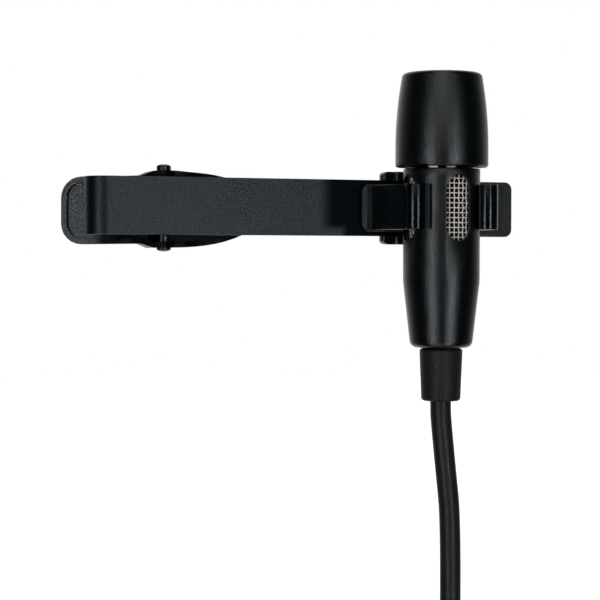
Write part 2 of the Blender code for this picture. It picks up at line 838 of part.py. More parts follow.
def make_cap_mesh(finish):
    """The mesh disc under the cap's opening: a net fused to a flat rim."""
    top = CAP_TOP - CAP_LIP - SEAT_GAP
    form = bmesh.new()
    net_faces(form, CAP_OPENING, NET_PITCH, top)
    punch(form, list(form.faces), NET_WIRE)
    bmesh.ops.translate(form, verts=form.verts, vec=MIC_AXIS)
    net = add_object("cap_net", form, finish)
    thicken(net, NET_THICKNESS)
    low = top - NET_THICKNESS
    rim_inner = CAP_OPENING - 2 * NET_WIRE
    proud = 0.01 * MM
    rim = [
        (CAP_SEAT_RADIUS - FIT_GAP, low - proud),
        (CAP_SEAT_RADIUS - FIT_GAP, top + proud),
        (rim_inner, top + proud),
        (rim_inner, low - proud),
    ]
    disc = turned("cap_mesh", rim, MIC_AXIS, finish, 32)
    combine(disc, net, "UNION")
    return disc


def make_foam(finish):
    top = CAP_TOP - CAP_LIP - NET_THICKNESS - 2 * SEAT_GAP
    radius = CAP_SEAT_RADIUS - FIT_GAP
    soft = 0.15 * MM
    profile = [
        (0.0, top - FOAM_THICKNESS),
        (radius - soft, top - FOAM_THICKNESS),
        (radius, top - FOAM_THICKNESS + soft),
        (radius, top - soft),
        (radius - soft, top),
        (0.0, top),
    ]
    return turned("cap_foam", profile, MIC_AXIS, finish, INNER_SIDES, closed=False)


def make_carrier(finish):
    """The metal capsule carrier: a spigot in the housing, a neck on its rim and a seat for the capsule."""
    spigot = BODY_BORE - FIT_GAP
    low = WINDOW_MIDDLE + mesh_height() / 2 + SEAT_GAP
    profile = [
        (NECK_BORE, low),
        (spigot, low),
        (spigot, NECK_SEAT),
        (NECK_OUTER, NECK_SEAT),
        (NECK_OUTER, NECK_TOP),
        (CAPSULE_RADIUS + FIT_GAP, NECK_TOP),
        (CAPSULE_RADIUS + FIT_GAP, CAPSULE_SEAT),
        (NECK_BORE, CAPSULE_SEAT),
    ]
    return turned("capsule_carrier", profile, MIC_AXIS, finish, INNER_SIDES)


def make_capsule(finish):
    """The electret capsule: a can with a rolled rim and a sound port in its face."""
    top = CAPSULE_Z + CAPSULE_HEIGHT
    roll = 0.25 * MM
    dish = 0.2 * MM
    profile = [
        (0.0, CAPSULE_Z),
        (CAPSULE_RADIUS - roll, CAPSULE_Z),
        (CAPSULE_RADIUS, CAPSULE_Z + roll),
        (CAPSULE_RADIUS, top - roll),
        (CAPSULE_RADIUS - roll, top),
        (CAPSULE_RADIUS - 3 * roll, top),
        (CAPSULE_RADIUS - 3 * roll, top - dish),
        (CAPSULE_PORT, top - dish),
        (CAPSULE_PORT, top - CAPSULE_PORT_DEPTH),
        (0.0, top - CAPSULE_PORT_DEPTH),
    ]
    return turned("capsule", profile, MIC_AXIS, finish, INNER_SIDES, closed=False)


def make_gasket(finish):
    low = CAPSULE_SEAT + SEAT_GAP
    profile = [
        (NECK_BORE - FIT_GAP, low),
        (CAPSULE_RADIUS, low),
        (CAPSULE_RADIUS, low + GASKET_HEIGHT),
        (NECK_BORE - FIT_GAP, low + GASKET_HEIGHT),
    ]
    return turned("capsule_gasket", profile, MIC_AXIS, finish, INNER_SIDES)


def make_board(finish):
    profile = [
        (0.0, BOARD_Z),
        (BOARD_RADIUS, BOARD_Z),
        (BOARD_RADIUS, BOARD_Z + BOARD_THICKNESS),
        (0.0, BOARD_Z + BOARD_THICKNESS),
    ]
    return turned("circuit_board", profile, MIC_AXIS, finish, INNER_SIDES, closed=False)


def make_leads(finishes):
    """The two cores from the ferrule up to the board."""
    low = FERRULE_Z + FERRULE_LENGTH * 0.4
    high = BOARD_Z - SEAT_GAP
    made = []
    for number, (side, finish) in enumerate(zip((-1, 1), finishes), 1):
        near = side * (LEAD_RADIUS + FIT_GAP)
        route = [
            MIC_AXIS + Vector((near, 0, low)),
            MIC_AXIS + Vector((near, 0, low + LEAD_STRAIGHT)),
            MIC_AXIS + Vector((side * LEAD_SPREAD * 1.3, 0, (low + high) / 2)),
            MIC_AXIS + Vector((side * LEAD_SPREAD, 0, high - LEAD_END)),
            MIC_AXIS + Vector((side * LEAD_SPREAD, 0, high)),
        ]
        made.append(tube(f"lead_core_{number}", smooth_line(route, LEAD_STEP), LEAD_RADIUS, finish, 1))
    return made


def make_housing(finish):
    """The housing: a turned shell with a tapered tail and four rounded sound windows."""
    corner = arc(
        TAIL_RADIUS - BODY_CORNER - 0.03 * MM,
        BODY_BOTTOM + BODY_CORNER,
        BODY_CORNER,
        0.0,
        -math.pi / 2,
        5,
    )
    profile = [
        (BODY_BORE, BODY_TOP),
        (SHOULDER_RADIUS, BODY_TOP),
        (BODY_RADIUS, BODY_TOP - SHOULDER_FADE),
        (BODY_RADIUS, TAPER_START),
        (TAIL_RADIUS, TAPER_END),
        *corner,
        (RELIEF_SPIGOT + FIT_GAP, BODY_BOTTOM),
        (RELIEF_SPIGOT + FIT_GAP, BODY_INNER_FLOOR),
        (TAIL_BORE, BODY_INNER_FLOOR),
        (BODY_BORE, TAPER_START),
    ]
    housing = turned("mic_housing", profile, MIC_AXIS, finish, BODY_SIDES)
    half = WINDOW_WIDTH / 2
    reach = WINDOW_HEIGHT / 2 - half
    outline = arc(0, WINDOW_MIDDLE + reach, half, 0.0, math.pi, 8)
    outline += arc(0, WINDOW_MIDDLE - reach, half, math.pi, TURN, 8)
    for number in range(WINDOW_COUNT // 2):
        slot = extruded(
            f"window_slot_{number}", outline, -2 * BODY_RADIUS, 2 * BODY_RADIUS, finish, facing_front
        )
        turn = Matrix.Rotation(WINDOW_TURN + number * TURN / WINDOW_COUNT, 4, "Z")
        slot.data.transform(Matrix.Translation(MIC_AXIS) @ turn)
        combine(housing, slot, "DIFFERENCE")
    return housing


def mesh_height():
    return MESH_ROWS * MESH_PITCH + 2 * MESH_MARGIN


def window_mesh_angles():
    """The sleeve's grid lines round the axis: close ones behind the windows, wide ones between."""
    cell = MESH_PITCH / MESH_RADIUS
    angles = []
    for window in range(WINDOW_COUNT):
        middle = WINDOW_TURN - TURN / 4 + window * TURN / WINDOW_COUNT
        first = middle - MESH_COLUMNS * cell / 2
        angles += [(first + i * cell, i < MESH_COLUMNS) for i in range(MESH_COLUMNS + 1)]
        gap = TURN / WINDOW_COUNT - MESH_COLUMNS * cell
        last = first + MESH_COLUMNS * cell
        angles.append((last + gap / 2, False))
    return angles


def behind_window(column, row):
    """Whether a cell of the sleeve lies behind a window's oval."""
    across = (column + 0.5 - MESH_COLUMNS / 2) * MESH_PITCH
    up = (row + 0.5 - MESH_ROWS / 2) * MESH_PITCH
    past = max(0.0, abs(up) - (WINDOW_HEIGHT - WINDOW_WIDTH) / 2)
    return math.hypot(across, past) < WINDOW_WIDTH / 2 + MESH_PITCH / 4


def make_window_mesh(finish):
    """The woven sleeve behind the windows: wires that pass over and under each other round the holes."""
    form = bmesh.new()
    angles = window_mesh_angles()
    bottom = WINDOW_MIDDLE - mesh_height() / 2
    heights = [bottom] + [bottom + MESH_MARGIN + i * MESH_PITCH for i in range(MESH_ROWS + 1)]
    heights.append(bottom + mesh_height())
    lines = []
    for i, (angle, _) in enumerate(angles):
        column = []
        for j, height in enumerate(heights):
            woven = 0 < j < len(heights) - 1
            wave = MESH_WAVE * (1 if (i + j) % 2 else -1) if woven else 0.0
            radius = MESH_RADIUS - MESH_WAVE + wave
            column.append(form.verts.new((radius * math.cos(angle), radius * math.sin(angle), height)))
        lines.append(column)
    woven_cells = []
    column_in_window = 0
    for i, (_, inside) in enumerate(angles):
        right = lines[(i + 1) % len(lines)]
        column_in_window = column_in_window + 1 if inside else -1
        for j in range(len(heights) - 1):
            face = form.faces.new((lines[i][j], right[j], right[j + 1], lines[i][j + 1]))
            in_rows = 0 < j <= MESH_ROWS
            if inside and in_rows and behind_window(column_in_window, j - 1):
                woven_cells.append(face)
    form.normal_update()
    punch(form, woven_cells, MESH_WIRE)
    bmesh.ops.translate(form, verts=form.verts, vec=MIC_AXIS)
    sleeve = add_object("window_mesh", form, finish)
    thicken(sleeve, MESH_SHEET)
    return sleeve


def make_relief(finish):
    """The rubber strain relief: a collar inside the housing, a spigot and a tapered sleeve."""
    collar_low = BODY_INNER_FLOOR + SEAT_GAP
    collar_top = collar_low + RELIEF_COLLAR_HEIGHT
    soft = 0.25 * MM
    socket = CORD_RADIUS + FIT_GAP
    profile = [
        (0.0, collar_top),
        (RELIEF_COLLAR, collar_top),
        (RELIEF_COLLAR, collar_low),
        (RELIEF_SPIGOT, collar_low),
        (RELIEF_SPIGOT, RELIEF_TOP),
        (RELIEF_TOP_RADIUS - soft, RELIEF_TOP),
        (RELIEF_TOP_RADIUS, RELIEF_TOP - soft),
        (RELIEF_END_RADIUS, RELIEF_END + soft),
        (RELIEF_END_RADIUS - soft, RELIEF_END),
        (socket, RELIEF_END),
        (socket, RELIEF_END + RELIEF_SOCKET),
        (0.0, RELIEF_END + RELIEF_SOCKET),
    ]
    return turned("strain_relief", profile, MIC_AXIS, finish, INNER_SIDES, closed=False)


def make_ferrule(finish):
    profile = [
        (FERRULE_BORE, FERRULE_Z),
        (FERRULE_RADIUS, FERRULE_Z),
        (FERRULE_RADIUS, FERRULE_Z + FERRULE_LENGTH),
        (FERRULE_BORE, FERRULE_Z + FERRULE_LENGTH),
    ]
    return turned("crimp_ferrule", profile, MIC_AXIS, finish, INNER_SIDES)


# ---------------------------------------------------------------- holder


def about_mic(across, back):
    """A plan point measured from the microphone's axis."""
    return (MIC_X + across, MIC_Y + back)


def clamp_outline():
    """The clamp in plan: two springy fingers round a bore, each ending in a lip with a flat lead-in."""
    bore = BODY_RADIUS + FIT_GAP
    lip_x, lip_y = (part * MM for part in LIP_CENTRE)
    lip = arc(lip_x, lip_y, LIP_RADIUS, 0.0, LIP_SLOPE, 7)
    route = [(x * MM, y * MM, 0.0) for x, y in FINGER_ROUTE] + [(*lip[1], 0.0)]
    finger = [(p.x, p.y) for p in smooth_line(route, 0.6 * MM)] + lip[2:]
    tip_x, tip_y = (part * MM for part in TIP_CENTRE)
    finger += arc(tip_x, tip_y, TIP_ROUND, LIP_SLOPE, LIP_SLOPE - math.radians(125), 3)
    around = TURN - 2 * THROAT_ANGLE
    inner = [
        (bore * math.sin(a), -bore * math.cos(a))
        for a in (THROAT_ANGLE + around * i / BORE_STEPS for i in range(1, BORE_STEPS))
    ]
    mirrored = [(-x, y) for x, y in reversed(finger)]
    back = MIC_STANDOFF - SEAT_GAP - CLAMP_SUNK
    root = finger[0][0]
    outline = [(root, back), *finger, *inner, *mirrored, (-root, back)]
    return [about_mic(x, y) for x, y in outline]


def make_holder(finish):
    """The holder: a base strip on the arm's face with a C-shaped clamp standing on it."""
    back = ARM_FRONT - SEAT_GAP
    holder = rounded_box(
        "mic_holder",
        (BASE_LEFT, back - BASE_THICKNESS, -BASE_HEIGHT / 2),
        (BASE_RIGHT, back, BASE_HEIGHT / 2),
        BASE_CORNER,
        finish,
    )
    clamp = extruded("clamp_form", clamp_outline(), -HOLDER_HEIGHT / 2, HOLDER_HEIGHT / 2, finish)
    combine(holder, clamp, "UNION")
    head_back = rivet_front() + RIVET_HEAD_HEIGHT + FIT_GAP
    for number, x in enumerate(rivet_places()):
        shank = rod(
            f"holder_rivet_hole_{number}",
            (x, MIC_Y, 0),
            (x, MIC_STANDOFF, 0),
            RIVET_RADIUS + SEAT_GAP,
            finish,
            16,
        )
        combine(holder, shank, "DIFFERENCE")
        sink = rod(
            f"holder_rivet_sink_{number}",
            (x, MIC_Y, 0),
            (x, head_back, 0),
            RIVET_HEAD + SEAT_GAP,
            finish,
            16,
        )
        combine(holder, sink, "DIFFERENCE")
    return holder


def rivet_front():
    """The rivets' front faces, just behind the microphone's back."""
    return MIC_Y + BODY_RADIUS + 2 * FIT_GAP


def make_rivets(finish):
    """Two flat rivets that hold the holder to the arm, heads sunk at both ends."""
    front = rivet_front()
    back = -SEAT_GAP
    for number, x in enumerate(rivet_places(), 1):
        profile = [
            (0.0, front),
            (RIVET_HEAD, front),
            (RIVET_HEAD, front + RIVET_HEAD_HEIGHT),
            (RIVET_RADIUS, front + RIVET_HEAD_HEIGHT),
            (RIVET_RADIUS, back - RIVET_HEAD_HEIGHT),
            (RIVET_HEAD, back - RIVET_HEAD_HEIGHT),
            (RIVET_HEAD, back),
            (0.0, back),
        ]
        rivet = turned(f"holder_rivet_{number}", profile, Vector(), finish, 16, closed=False)
        lie = Matrix.Translation((x, 0.0, 0.0)) @ Matrix.Rotation(-math.pi / 2, 4, "X")
        rivet.data.transform(lie)


# ---------------------------------------------------------------- lead and hank


def make_drop(finish):
    """The lead from the strain relief down to the hank, hanging with a slight drift to one side."""
    route = [MIC_AXIS + Vector((x * MM, 0.0, RELIEF_END + z * MM)) for x, z in DROP_ROUTE]
    route.insert(0, MIC_AXIS + Vector((0.0, 0.0, CORD_START)))
    route.append(Vector((DROP_X, MIC_Y, HANK_ENTRY + CORD_GAP)))
    points = smooth_line(route, CORD_STEP)
    tube("cord_drop", points, CORD_RADIUS, finish)
    return line_length(points)


def eased(share):
    share = min(1.0, max(0.0, share))
    return share * share * (3 - 2 * share)


def hank_point(turn):
    """A place on the hank: down the right run at whole turns, up the left run at half turns."""
    tightest = [HANK_TURNS * (2 * k + 1) for k in range(HANK_LAYERS // 2)]
    out = HANK_INNER + HANK_STEP * min(abs(turn - t) for t in tightest)
    climbs = [turn - HANK_TURNS * k for k in range(1, HANK_LAYERS)]
    y = MIC_Y + HANK_LAYER * sum(eased(past / (2 * RUN_SHARE) + 0.5) for past in climbs)
    run = math.floor(2 * turn + 2 * RUN_SHARE)
    past = 2 * turn - run
    side = 1 if run % 2 == 0 else -1
    if past <= 2 * RUN_SHARE:
        up = -side * past / (2 * RUN_SHARE) * HANK_HALF_RUN
        drawn_in = HANK_WAIST * math.cos(math.pi / 2 * up / HANK_HALF_RUN) ** 2
        return Vector((HANK_X + side * (out - drawn_in), y, HANK_Z + up))
    fold = (past - 2 * RUN_SHARE) / (1 - 4 * RUN_SHARE) * math.pi
    return Vector(
        (
            HANK_X + side * out * math.cos(fold),
            y,
            HANK_Z - side * (HANK_HALF_RUN + out * math.sin(fold)),
        )
    )


def least_gap(points, diameter):
    """The smallest space between a tube and itself, away from its own next stretch."""
    step = 0.5 * MM
    fine = []
    for a, b in zip(points, points[1:]):
        parts = max(1, int((b - a).length / step))
        fine += [a + (b - a) * i / parts for i in range(parts)]
    spots = np.array([tuple(p) for p in fine])
    skip = int(4 * diameter / step)
    least = 1.0
    for i in range(len(spots) - skip):
        away = np.linalg.norm(spots[i + skip:] - spots[i], axis=1).min()
        least = min(least, away)
    return least - diameter


def make_hank(finish):
    """The spare lead, wound as one hank in layers that spiral in and out in turn."""
    first = -RUN_SHARE
    last = HANK_TURNS * HANK_LAYERS + RUN_SHARE
    count = round((last - first) * LOOP_POINTS)
    points = [hank_point(first + (last - first) * i / count + 1e-9) for i in range(count + 1)]
    points.insert(0, points[0] + Vector((0.0, 0.0, CORD_DIAMETER)))
    points.append(points[-1] - Vector((0.0, 0.0, CORD_DIAMETER)))
    print(f"hank: least gap to itself {least_gap(points, CORD_DIAMETER) / MM:.2f} mm")
    tube("cord_hank", points, CORD_RADIUS, finish, 1)
    return line_length(points)


def rounded_loop(x0, y0, x1, y1, corner, steps=5):
    return (
        arc(x1 - corner, y1 - corner, corner, 0.0, math.pi / 2, steps)
        + arc(x0 + corner, y1 - corner, corner, math.pi / 2, math.pi, steps)
        + arc(x0 + corner, y0 + corner, corner, math.pi, 1.5 * math.pi, steps)
        + arc(x1 - corner, y0 + corner, corner, 1.5 * math.pi, TURN, steps)
    )


def make_tie(finish):
    """The strap round the hank's waist: a closed band with rounded corners."""
    spots = [hank_point(k / 2) for k in range(2 * int(HANK_TURNS * HANK_LAYERS) + 1)]
    clear = CORD_RADIUS + TIE_CLEARANCE
    x0 = min(p.x for p in spots) - clear
    x1 = max(p.x for p in spots) + clear
    y0 = min(p.y for p in spots) - clear
    y1 = max(p.y for p in spots) + clear
    thick = TIE_THICKNESS
    outer = rounded_loop(x0 - thick, y0 - thick, x1 + thick, y1 + thick, TIE_CORNER)
    inner = rounded_loop(x0, y0, x1, y1, TIE_CORNER - thick)
    low = HANK_Z - TIE_HEIGHT / 2
    high = HANK_Z + TIE_HEIGHT / 2
    form = bmesh.new()
    rings = [
        [form.verts.new((x, y, z)) for x, y in loop]
        for loop, z in ((outer, low), (outer, high), (inner, high), (inner, low))
    ]
    count = len(outer)
    for near, far in zip(rings, rings[1:] + rings[:1]):
        for i in range(count):
            j = (i + 1) % count
            form.faces.new((near[i], near[j], far[j], far[i]))
    add_object("hank_tie", form, finish)


def make_tail(finish):
    """The short end of the lead from the hank to the plug's boot."""
    top = Vector((PLUG_AXIS.x, PLUG_AXIS.y, TAIL_TOP))
    end = Vector((PLUG_AXIS.x, PLUG_AXIS.y, PLUG_TOP - RELIEF_SOCKET + CORD_GAP))
    points = smooth_line([top, (top + end) / 2, end], CORD_STEP)
    tube("cord_tail", points, CORD_RADIUS, finish)
    return line_length(points)


# ---------------------------------------------------------------- plug


def make_boot(finish):
    """The plug's boot: ribbed rubber that flexes, with a spigot through the collar into the shell."""
    rib = BOOT_LENGTH / BOOT_RIBS
    socket = CORD_RADIUS + FIT_GAP
    profile = [(0.0, PLUG_TOP - RELIEF_SOCKET), (socket, PLUG_TOP - RELIEF_SOCKET), (socket, PLUG_TOP)]
    for i in range(BOOT_RIBS):
        near = BOOT_THIN + (BOOT_THICK - BOOT_THIN) * i / BOOT_RIBS
        far = BOOT_THIN + (BOOT_THICK - BOOT_THIN) * (i + 1) / BOOT_RIBS
        top = PLUG_TOP - i * rib
        profile.append((near, top))
        profile.append((far, top - 0.65 * rib))
        if i < BOOT_RIBS - 1:
            profile.append((far - BOOT_GROOVE, top - 0.72 * rib))
            profile.append((far - BOOT_GROOVE, top - 0.93 * rib))
    profile.append((BOOT_THICK, BOOT_END))
    profile += [(SPIGOT_RADIUS, BOOT_END), (SPIGOT_RADIUS, SPIGOT_END), (0.0, SPIGOT_END)]
    return turned("plug_boot", profile, PLUG_AXIS, finish, INNER_SIDES, closed=False)


def make_collar(finish):
    """The metal ring between boot and shell."""
    top = BOOT_END - SEAT_GAP
    soft = SHELL_CORNER
    profile = [
        (SPIGOT_RADIUS + FIT_GAP, top),
        (COLLAR_RADIUS - soft, top),
        (COLLAR_RADIUS, top - soft),
        (COLLAR_RADIUS, top - COLLAR_HEIGHT),
        (SPIGOT_RADIUS + FIT_GAP, top - COLLAR_HEIGHT),
    ]
    return turned("plug_collar", profile, PLUG_AXIS, finish, INNER_SIDES)


def make_shell(finish):
    """The plug's shell: a tube with an end wall, open at the mating face, with the latch's window."""
    bore = SHELL_RADIUS - SHELL_WALL
    profile = [
        (SPIGOT_RADIUS + FIT_GAP, SHELL_TOP),
        (SHELL_RADIUS - SHELL_CORNER, SHELL_TOP),
        (SHELL_RADIUS, SHELL_TOP - SHELL_CORNER),
        (SHELL_RADIUS, PLUG_FACE + SHELL_CORNER / 2),
        (SHELL_RADIUS - SHELL_CORNER / 2, PLUG_FACE),
        (bore, PLUG_FACE),
        (bore, SHELL_TOP - SHELL_WALL),
        (SPIGOT_RADIUS + FIT_GAP, SHELL_TOP - SHELL_WALL),
    ]
    shell = turned("plug_shell", profile, PLUG_AXIS, finish, BODY_SIDES)
    window = latch_block("latch_window", finish, FIT_GAP, 0.0, 2 * SHELL_RADIUS)
    combine(shell, window, "DIFFERENCE")
    return shell


def latch_block(name, finish, spare, near, far):
    """A rounded block on the plug's front, from near to far off its axis."""
    low = PLUG_FACE + LATCH_FROM_FACE
    return rounded_box(
        name,
        (PLUG_AXIS.x - LATCH_WIDTH / 2 - spare, PLUG_AXIS.y - far, low - spare),
        (PLUG_AXIS.x + LATCH_WIDTH / 2 + spare, PLUG_AXIS.y - near, low + LATCH_LENGTH + spare),
        LATCH_CORNER + spare,
        finish,
    )


def make_latch(finish):
    """The push latch: a rounded button that stands proud of the shell."""
    proud = SHELL_RADIUS + LATCH_PROUD
    latch = latch_block("plug_latch", finish, 0.0, proud - LATCH_DEPTH, proud)
    edge = latch.modifiers.new("Soft edge", "BEVEL")
    edge.width = LATCH_CORNER / 3
    edge.segments = 2
    edge.limit_method = "ANGLE"
    edge.angle_limit = math.radians(60)
    place = Vector((PLUG_AXIS.x, PLUG_AXIS.y - proud, PLUG_FACE + LATCH_FROM_FACE + LATCH_LENGTH / 2))
    latch.data.transform(Matrix.Translation(-place))
    latch.location = place
    return latch


def contact_place(number):
    a = -math.pi / 2 + TURN * number / CONTACT_COUNT
    return PLUG_AXIS + Vector((CONTACT_CIRCLE * math.cos(a), CONTACT_CIRCLE * math.sin(a), 0.0))


def make_insert(finish):
    """The insulating insert at the mating face, drilled for its contacts."""
    radius = SHELL_RADIUS - SHELL_WALL - FIT_GAP
    face = PLUG_FACE - INSERT_PROUD
    soft = INSERT_PROUD
    profile = [
        (0.0, face),
        (radius - soft, face),
        (radius, face + soft),
        (radius, face + INSERT_LENGTH),
        (0.0, face + INSERT_LENGTH),
    ]
    insert = turned("plug_insert", profile, PLUG_AXIS, finish, INNER_SIDES, closed=False)
    for number in range(CONTACT_COUNT):
        place = contact_place(number)
        drill = rod(
            f"contact_hole_{number}",
            place + Vector((0, 0, face - INSERT_LENGTH)),
            place + Vector((0, 0, face + CONTACT_LENGTH + 4 * SEAT_GAP)),
            CONTACT_RADIUS + SEAT_GAP,
            finish,
            16,
        )
        combine(insert, drill, "DIFFERENCE")
    return insert


def make_contacts(finish):
    """The socket contacts, just under the insert's face."""
    low = PLUG_FACE - INSERT_PROUD + 2 * SEAT_GAP
    profile = [
        (CONTACT_BORE, low),
        (CONTACT_RADIUS, low),
        (CONTACT_RADIUS, low + CONTACT_LENGTH),
        (0.0, low + CONTACT_LENGTH),
        (0.0, low + 0.8 * CONTACT_LENGTH),
        (CONTACT_BORE, low + 0.8 * CONTACT_LENGTH),
    ]
    for number in range(CONTACT_COUNT):
        name = f"plug_contact_{number + 1}"
        turned(name, profile, contact_place(number), finish, 16)


# ---------------------------------------------------------------- the whole part


def build():
    clear_scene()
    satin = material("satin_black", (0.020, 0.022, 0.026), 0.32, 1.0)
    moulded = material("holder_black", (0.016, 0.018, 0.021), 0.38)
    steel = material("steel", (0.62, 0.61, 0.59), 0.28, 1.0)
    mesh = material("mesh_steel", (0.55, 0.56, 0.57), 0.3, 1.0)
    gold = material("gold", (0.90, 0.68, 0.30), 0.22, 1.0)
    rubber = material("rubber_black", (0.018, 0.018, 0.020), 0.75)
    jacket = material("cord_black", (0.020, 0.020, 0.022), 0.55)
    foam = material("foam_grey", (0.06, 0.06, 0.065), 0.95)
    board = material("board_green", (0.03, 0.16, 0.07), 0.45)
    red = material("core_red", (0.45, 0.03, 0.03), 0.45)
    white = material("core_white", (0.75, 0.75, 0.73), 0.45)
    plastic = material("insert_black", (0.03, 0.03, 0.032), 0.5)

    make_arm(satin)
    make_lever(satin)
    make_pin(satin)
    make_spring(steel)
    make_holder(moulded)
    make_rivets(steel)

    make_housing(satin)
    make_window_mesh(mesh)
    make_carrier(steel)
    make_capsule(steel)
    make_gasket(rubber)
    make_board(board)
    make_leads([red, white])
    make_ferrule(steel)
    make_cap(satin)
    make_cap_mesh(mesh)
    make_foam(foam)
    make_relief(rubber)

    lengths = [make_drop(jacket), make_hank(jacket), make_tail(jacket)]
    make_tie(rubber)
    make_boot(rubber)
    make_collar(steel)
    make_shell(steel)
    make_latch(steel)
    make_insert(plastic)
    make_contacts(gold)
    shown = ", ".join(f"{length / MM:.1f}" for length in lengths)
    print(f"lead: drop, hank and tail {shown} mm, together {sum(lengths):.3f} m")


build()
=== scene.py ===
# %% [markdown]
# # A clip-on lavalier microphone
# The script dresses the imported CAD part for its portrait. The camera and the lead come first, because they
# settle what is seen and where the long soft piece lies. Every piece after that is modelled at its real
# size from the places the CAD gives, and all but the spring ride on the CAD body that carries them.

import math

import bpy
from mathutils import Matrix, Vector


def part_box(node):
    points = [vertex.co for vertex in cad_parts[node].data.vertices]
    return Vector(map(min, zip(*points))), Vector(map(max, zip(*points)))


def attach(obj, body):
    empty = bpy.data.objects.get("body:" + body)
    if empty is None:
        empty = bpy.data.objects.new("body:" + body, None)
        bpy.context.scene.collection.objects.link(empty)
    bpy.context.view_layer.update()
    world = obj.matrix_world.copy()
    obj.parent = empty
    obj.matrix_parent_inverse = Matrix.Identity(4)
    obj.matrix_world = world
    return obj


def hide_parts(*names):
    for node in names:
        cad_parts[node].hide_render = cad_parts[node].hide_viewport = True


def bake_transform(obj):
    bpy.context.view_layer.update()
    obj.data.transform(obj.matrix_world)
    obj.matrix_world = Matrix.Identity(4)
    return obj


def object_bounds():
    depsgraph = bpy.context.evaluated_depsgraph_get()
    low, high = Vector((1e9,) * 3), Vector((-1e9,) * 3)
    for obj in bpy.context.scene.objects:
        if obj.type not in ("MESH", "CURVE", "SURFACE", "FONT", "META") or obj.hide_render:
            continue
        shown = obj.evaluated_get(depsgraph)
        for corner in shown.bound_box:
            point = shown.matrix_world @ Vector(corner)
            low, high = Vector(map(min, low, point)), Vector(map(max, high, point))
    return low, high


MM = 0.001
TURN = 2 * math.pi
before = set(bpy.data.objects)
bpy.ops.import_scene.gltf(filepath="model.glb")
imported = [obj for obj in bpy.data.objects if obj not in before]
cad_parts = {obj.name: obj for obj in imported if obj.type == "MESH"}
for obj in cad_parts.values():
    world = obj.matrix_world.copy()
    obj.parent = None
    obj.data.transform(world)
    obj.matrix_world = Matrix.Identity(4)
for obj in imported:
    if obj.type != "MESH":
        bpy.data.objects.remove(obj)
first_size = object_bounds()


# %% [markdown]
# ## Places
# The solids already have the real sizes, so the places come from their boxes: the microphone's axis is the
# middle of its housing, and the clip's arm is a strip whose back face lies on Y = 0.

# %% Places
def box_middle(node):
    low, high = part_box(node)
    return (low + high) / 2


mic_axis = box_middle("mic_housing")
mic_axis.z = 0.0
plug_axis = box_middle("plug_shell")
plug_axis.z = 0.0


# %% [markdown]
# ## Camera
# The photograph is a product shot from close by with a long lens, from the side of the clip's pivot. The
# microphone's axis stands to the right of the picture, so the camera looks past it towards the clip.

# %% Camera
CAMERA_TURN = math.radians(-19.0)
CAMERA_REACH = 196 * MM
PICTURE_MM = 0.105 * MM  # what one pixel of the photograph covers at the microphone's axis
AXIS_COLUMN = 441.2
HORIZON_ROW = 260.0
AXIS_ROW = 207.2
PICTURE_MIDDLE = 300.0
CAMERA_ROLL = math.radians(0.15)
SENSOR_WIDE = 36.0
NEAREST_SEEN = 0.01
FARTHEST_SEEN = 10.0

forward = Vector((math.sin(-CAMERA_TURN), math.cos(CAMERA_TURN), 0.0))
right = Vector((forward.y, -forward.x, 0.0))
aside = (PICTURE_MIDDLE - AXIS_COLUMN) * PICTURE_MM
height = (AXIS_ROW - HORIZON_ROW) * PICTURE_MM
pitch = math.atan2((PICTURE_MIDDLE - HORIZON_ROW) * PICTURE_MM, CAMERA_REACH)

bpy.ops.object.camera_add()
camera = bpy.context.object
camera.name = "camera"
camera.location = mic_axis + right * aside - forward * CAMERA_REACH + Vector((0, 0, height))
looking = forward * math.cos(pitch) - Vector((0, 0, 1)) * math.sin(pitch)
camera.rotation_mode = "QUATERNION"
rolled = Matrix.Rotation(CAMERA_ROLL, 3, "Z").to_quaternion()
camera.rotation_quaternion = looking.to_track_quat("-Z", "Y") @ rolled
camera.data.sensor_width = SENSOR_WIDE
camera.data.lens = SENSOR_WIDE * CAMERA_REACH / (2 * PICTURE_MIDDLE * PICTURE_MM)
camera.data.clip_start = NEAREST_SEEN
camera.data.clip_end = FARTHEST_SEEN
bpy.context.scene.camera = camera
bpy.context.scene.view_settings.view_transform = "Standard"
print("camera at", [round(c / MM, 1) for c in camera.location], "lens", round(camera.data.lens, 1))


# %% [markdown]
# ## Small tools
# A finish is a Principled shader with a few procedural nodes in front of it. These helpers keep the cells
# that follow short: one adds a node with its settings, one makes a named finish, one gives it a grain, one
# hides the solid that a new piece stands for.

# %% Small tools
NOISE_LOW, NOISE_HIGH = 0.3, 0.7
GRAIN_HEIGHT = 0.06 * MM


def node(tree, kind, links=(), **settings):
    """Adds a shader node. Settings are its own fields; links are (input name, value or output socket)."""
    made = tree.nodes.new(kind)
    for field, value in settings.items():
        setattr(made, field, value)
    for socket, source in links:
        if isinstance(source, bpy.types.NodeSocket):
            tree.links.new(source, made.inputs[socket])
        else:
            made.inputs[socket].default_value = source
    return made


def finish(name, colour, roughness, metallic=0.0, ior=1.5):
    """A named Principled finish and its node tree."""
    made = bpy.data.materials.new(name)
    made.use_nodes = True
    tree = made.node_tree
    shader = tree.nodes["Principled BSDF"]
    shader.inputs["Base Color"].default_value = (*colour, 1.0)
    shader.inputs["Roughness"].default_value = roughness
    shader.inputs["Metallic"].default_value = metallic
    shader.inputs["IOR"].default_value = ior
    return made, tree, shader


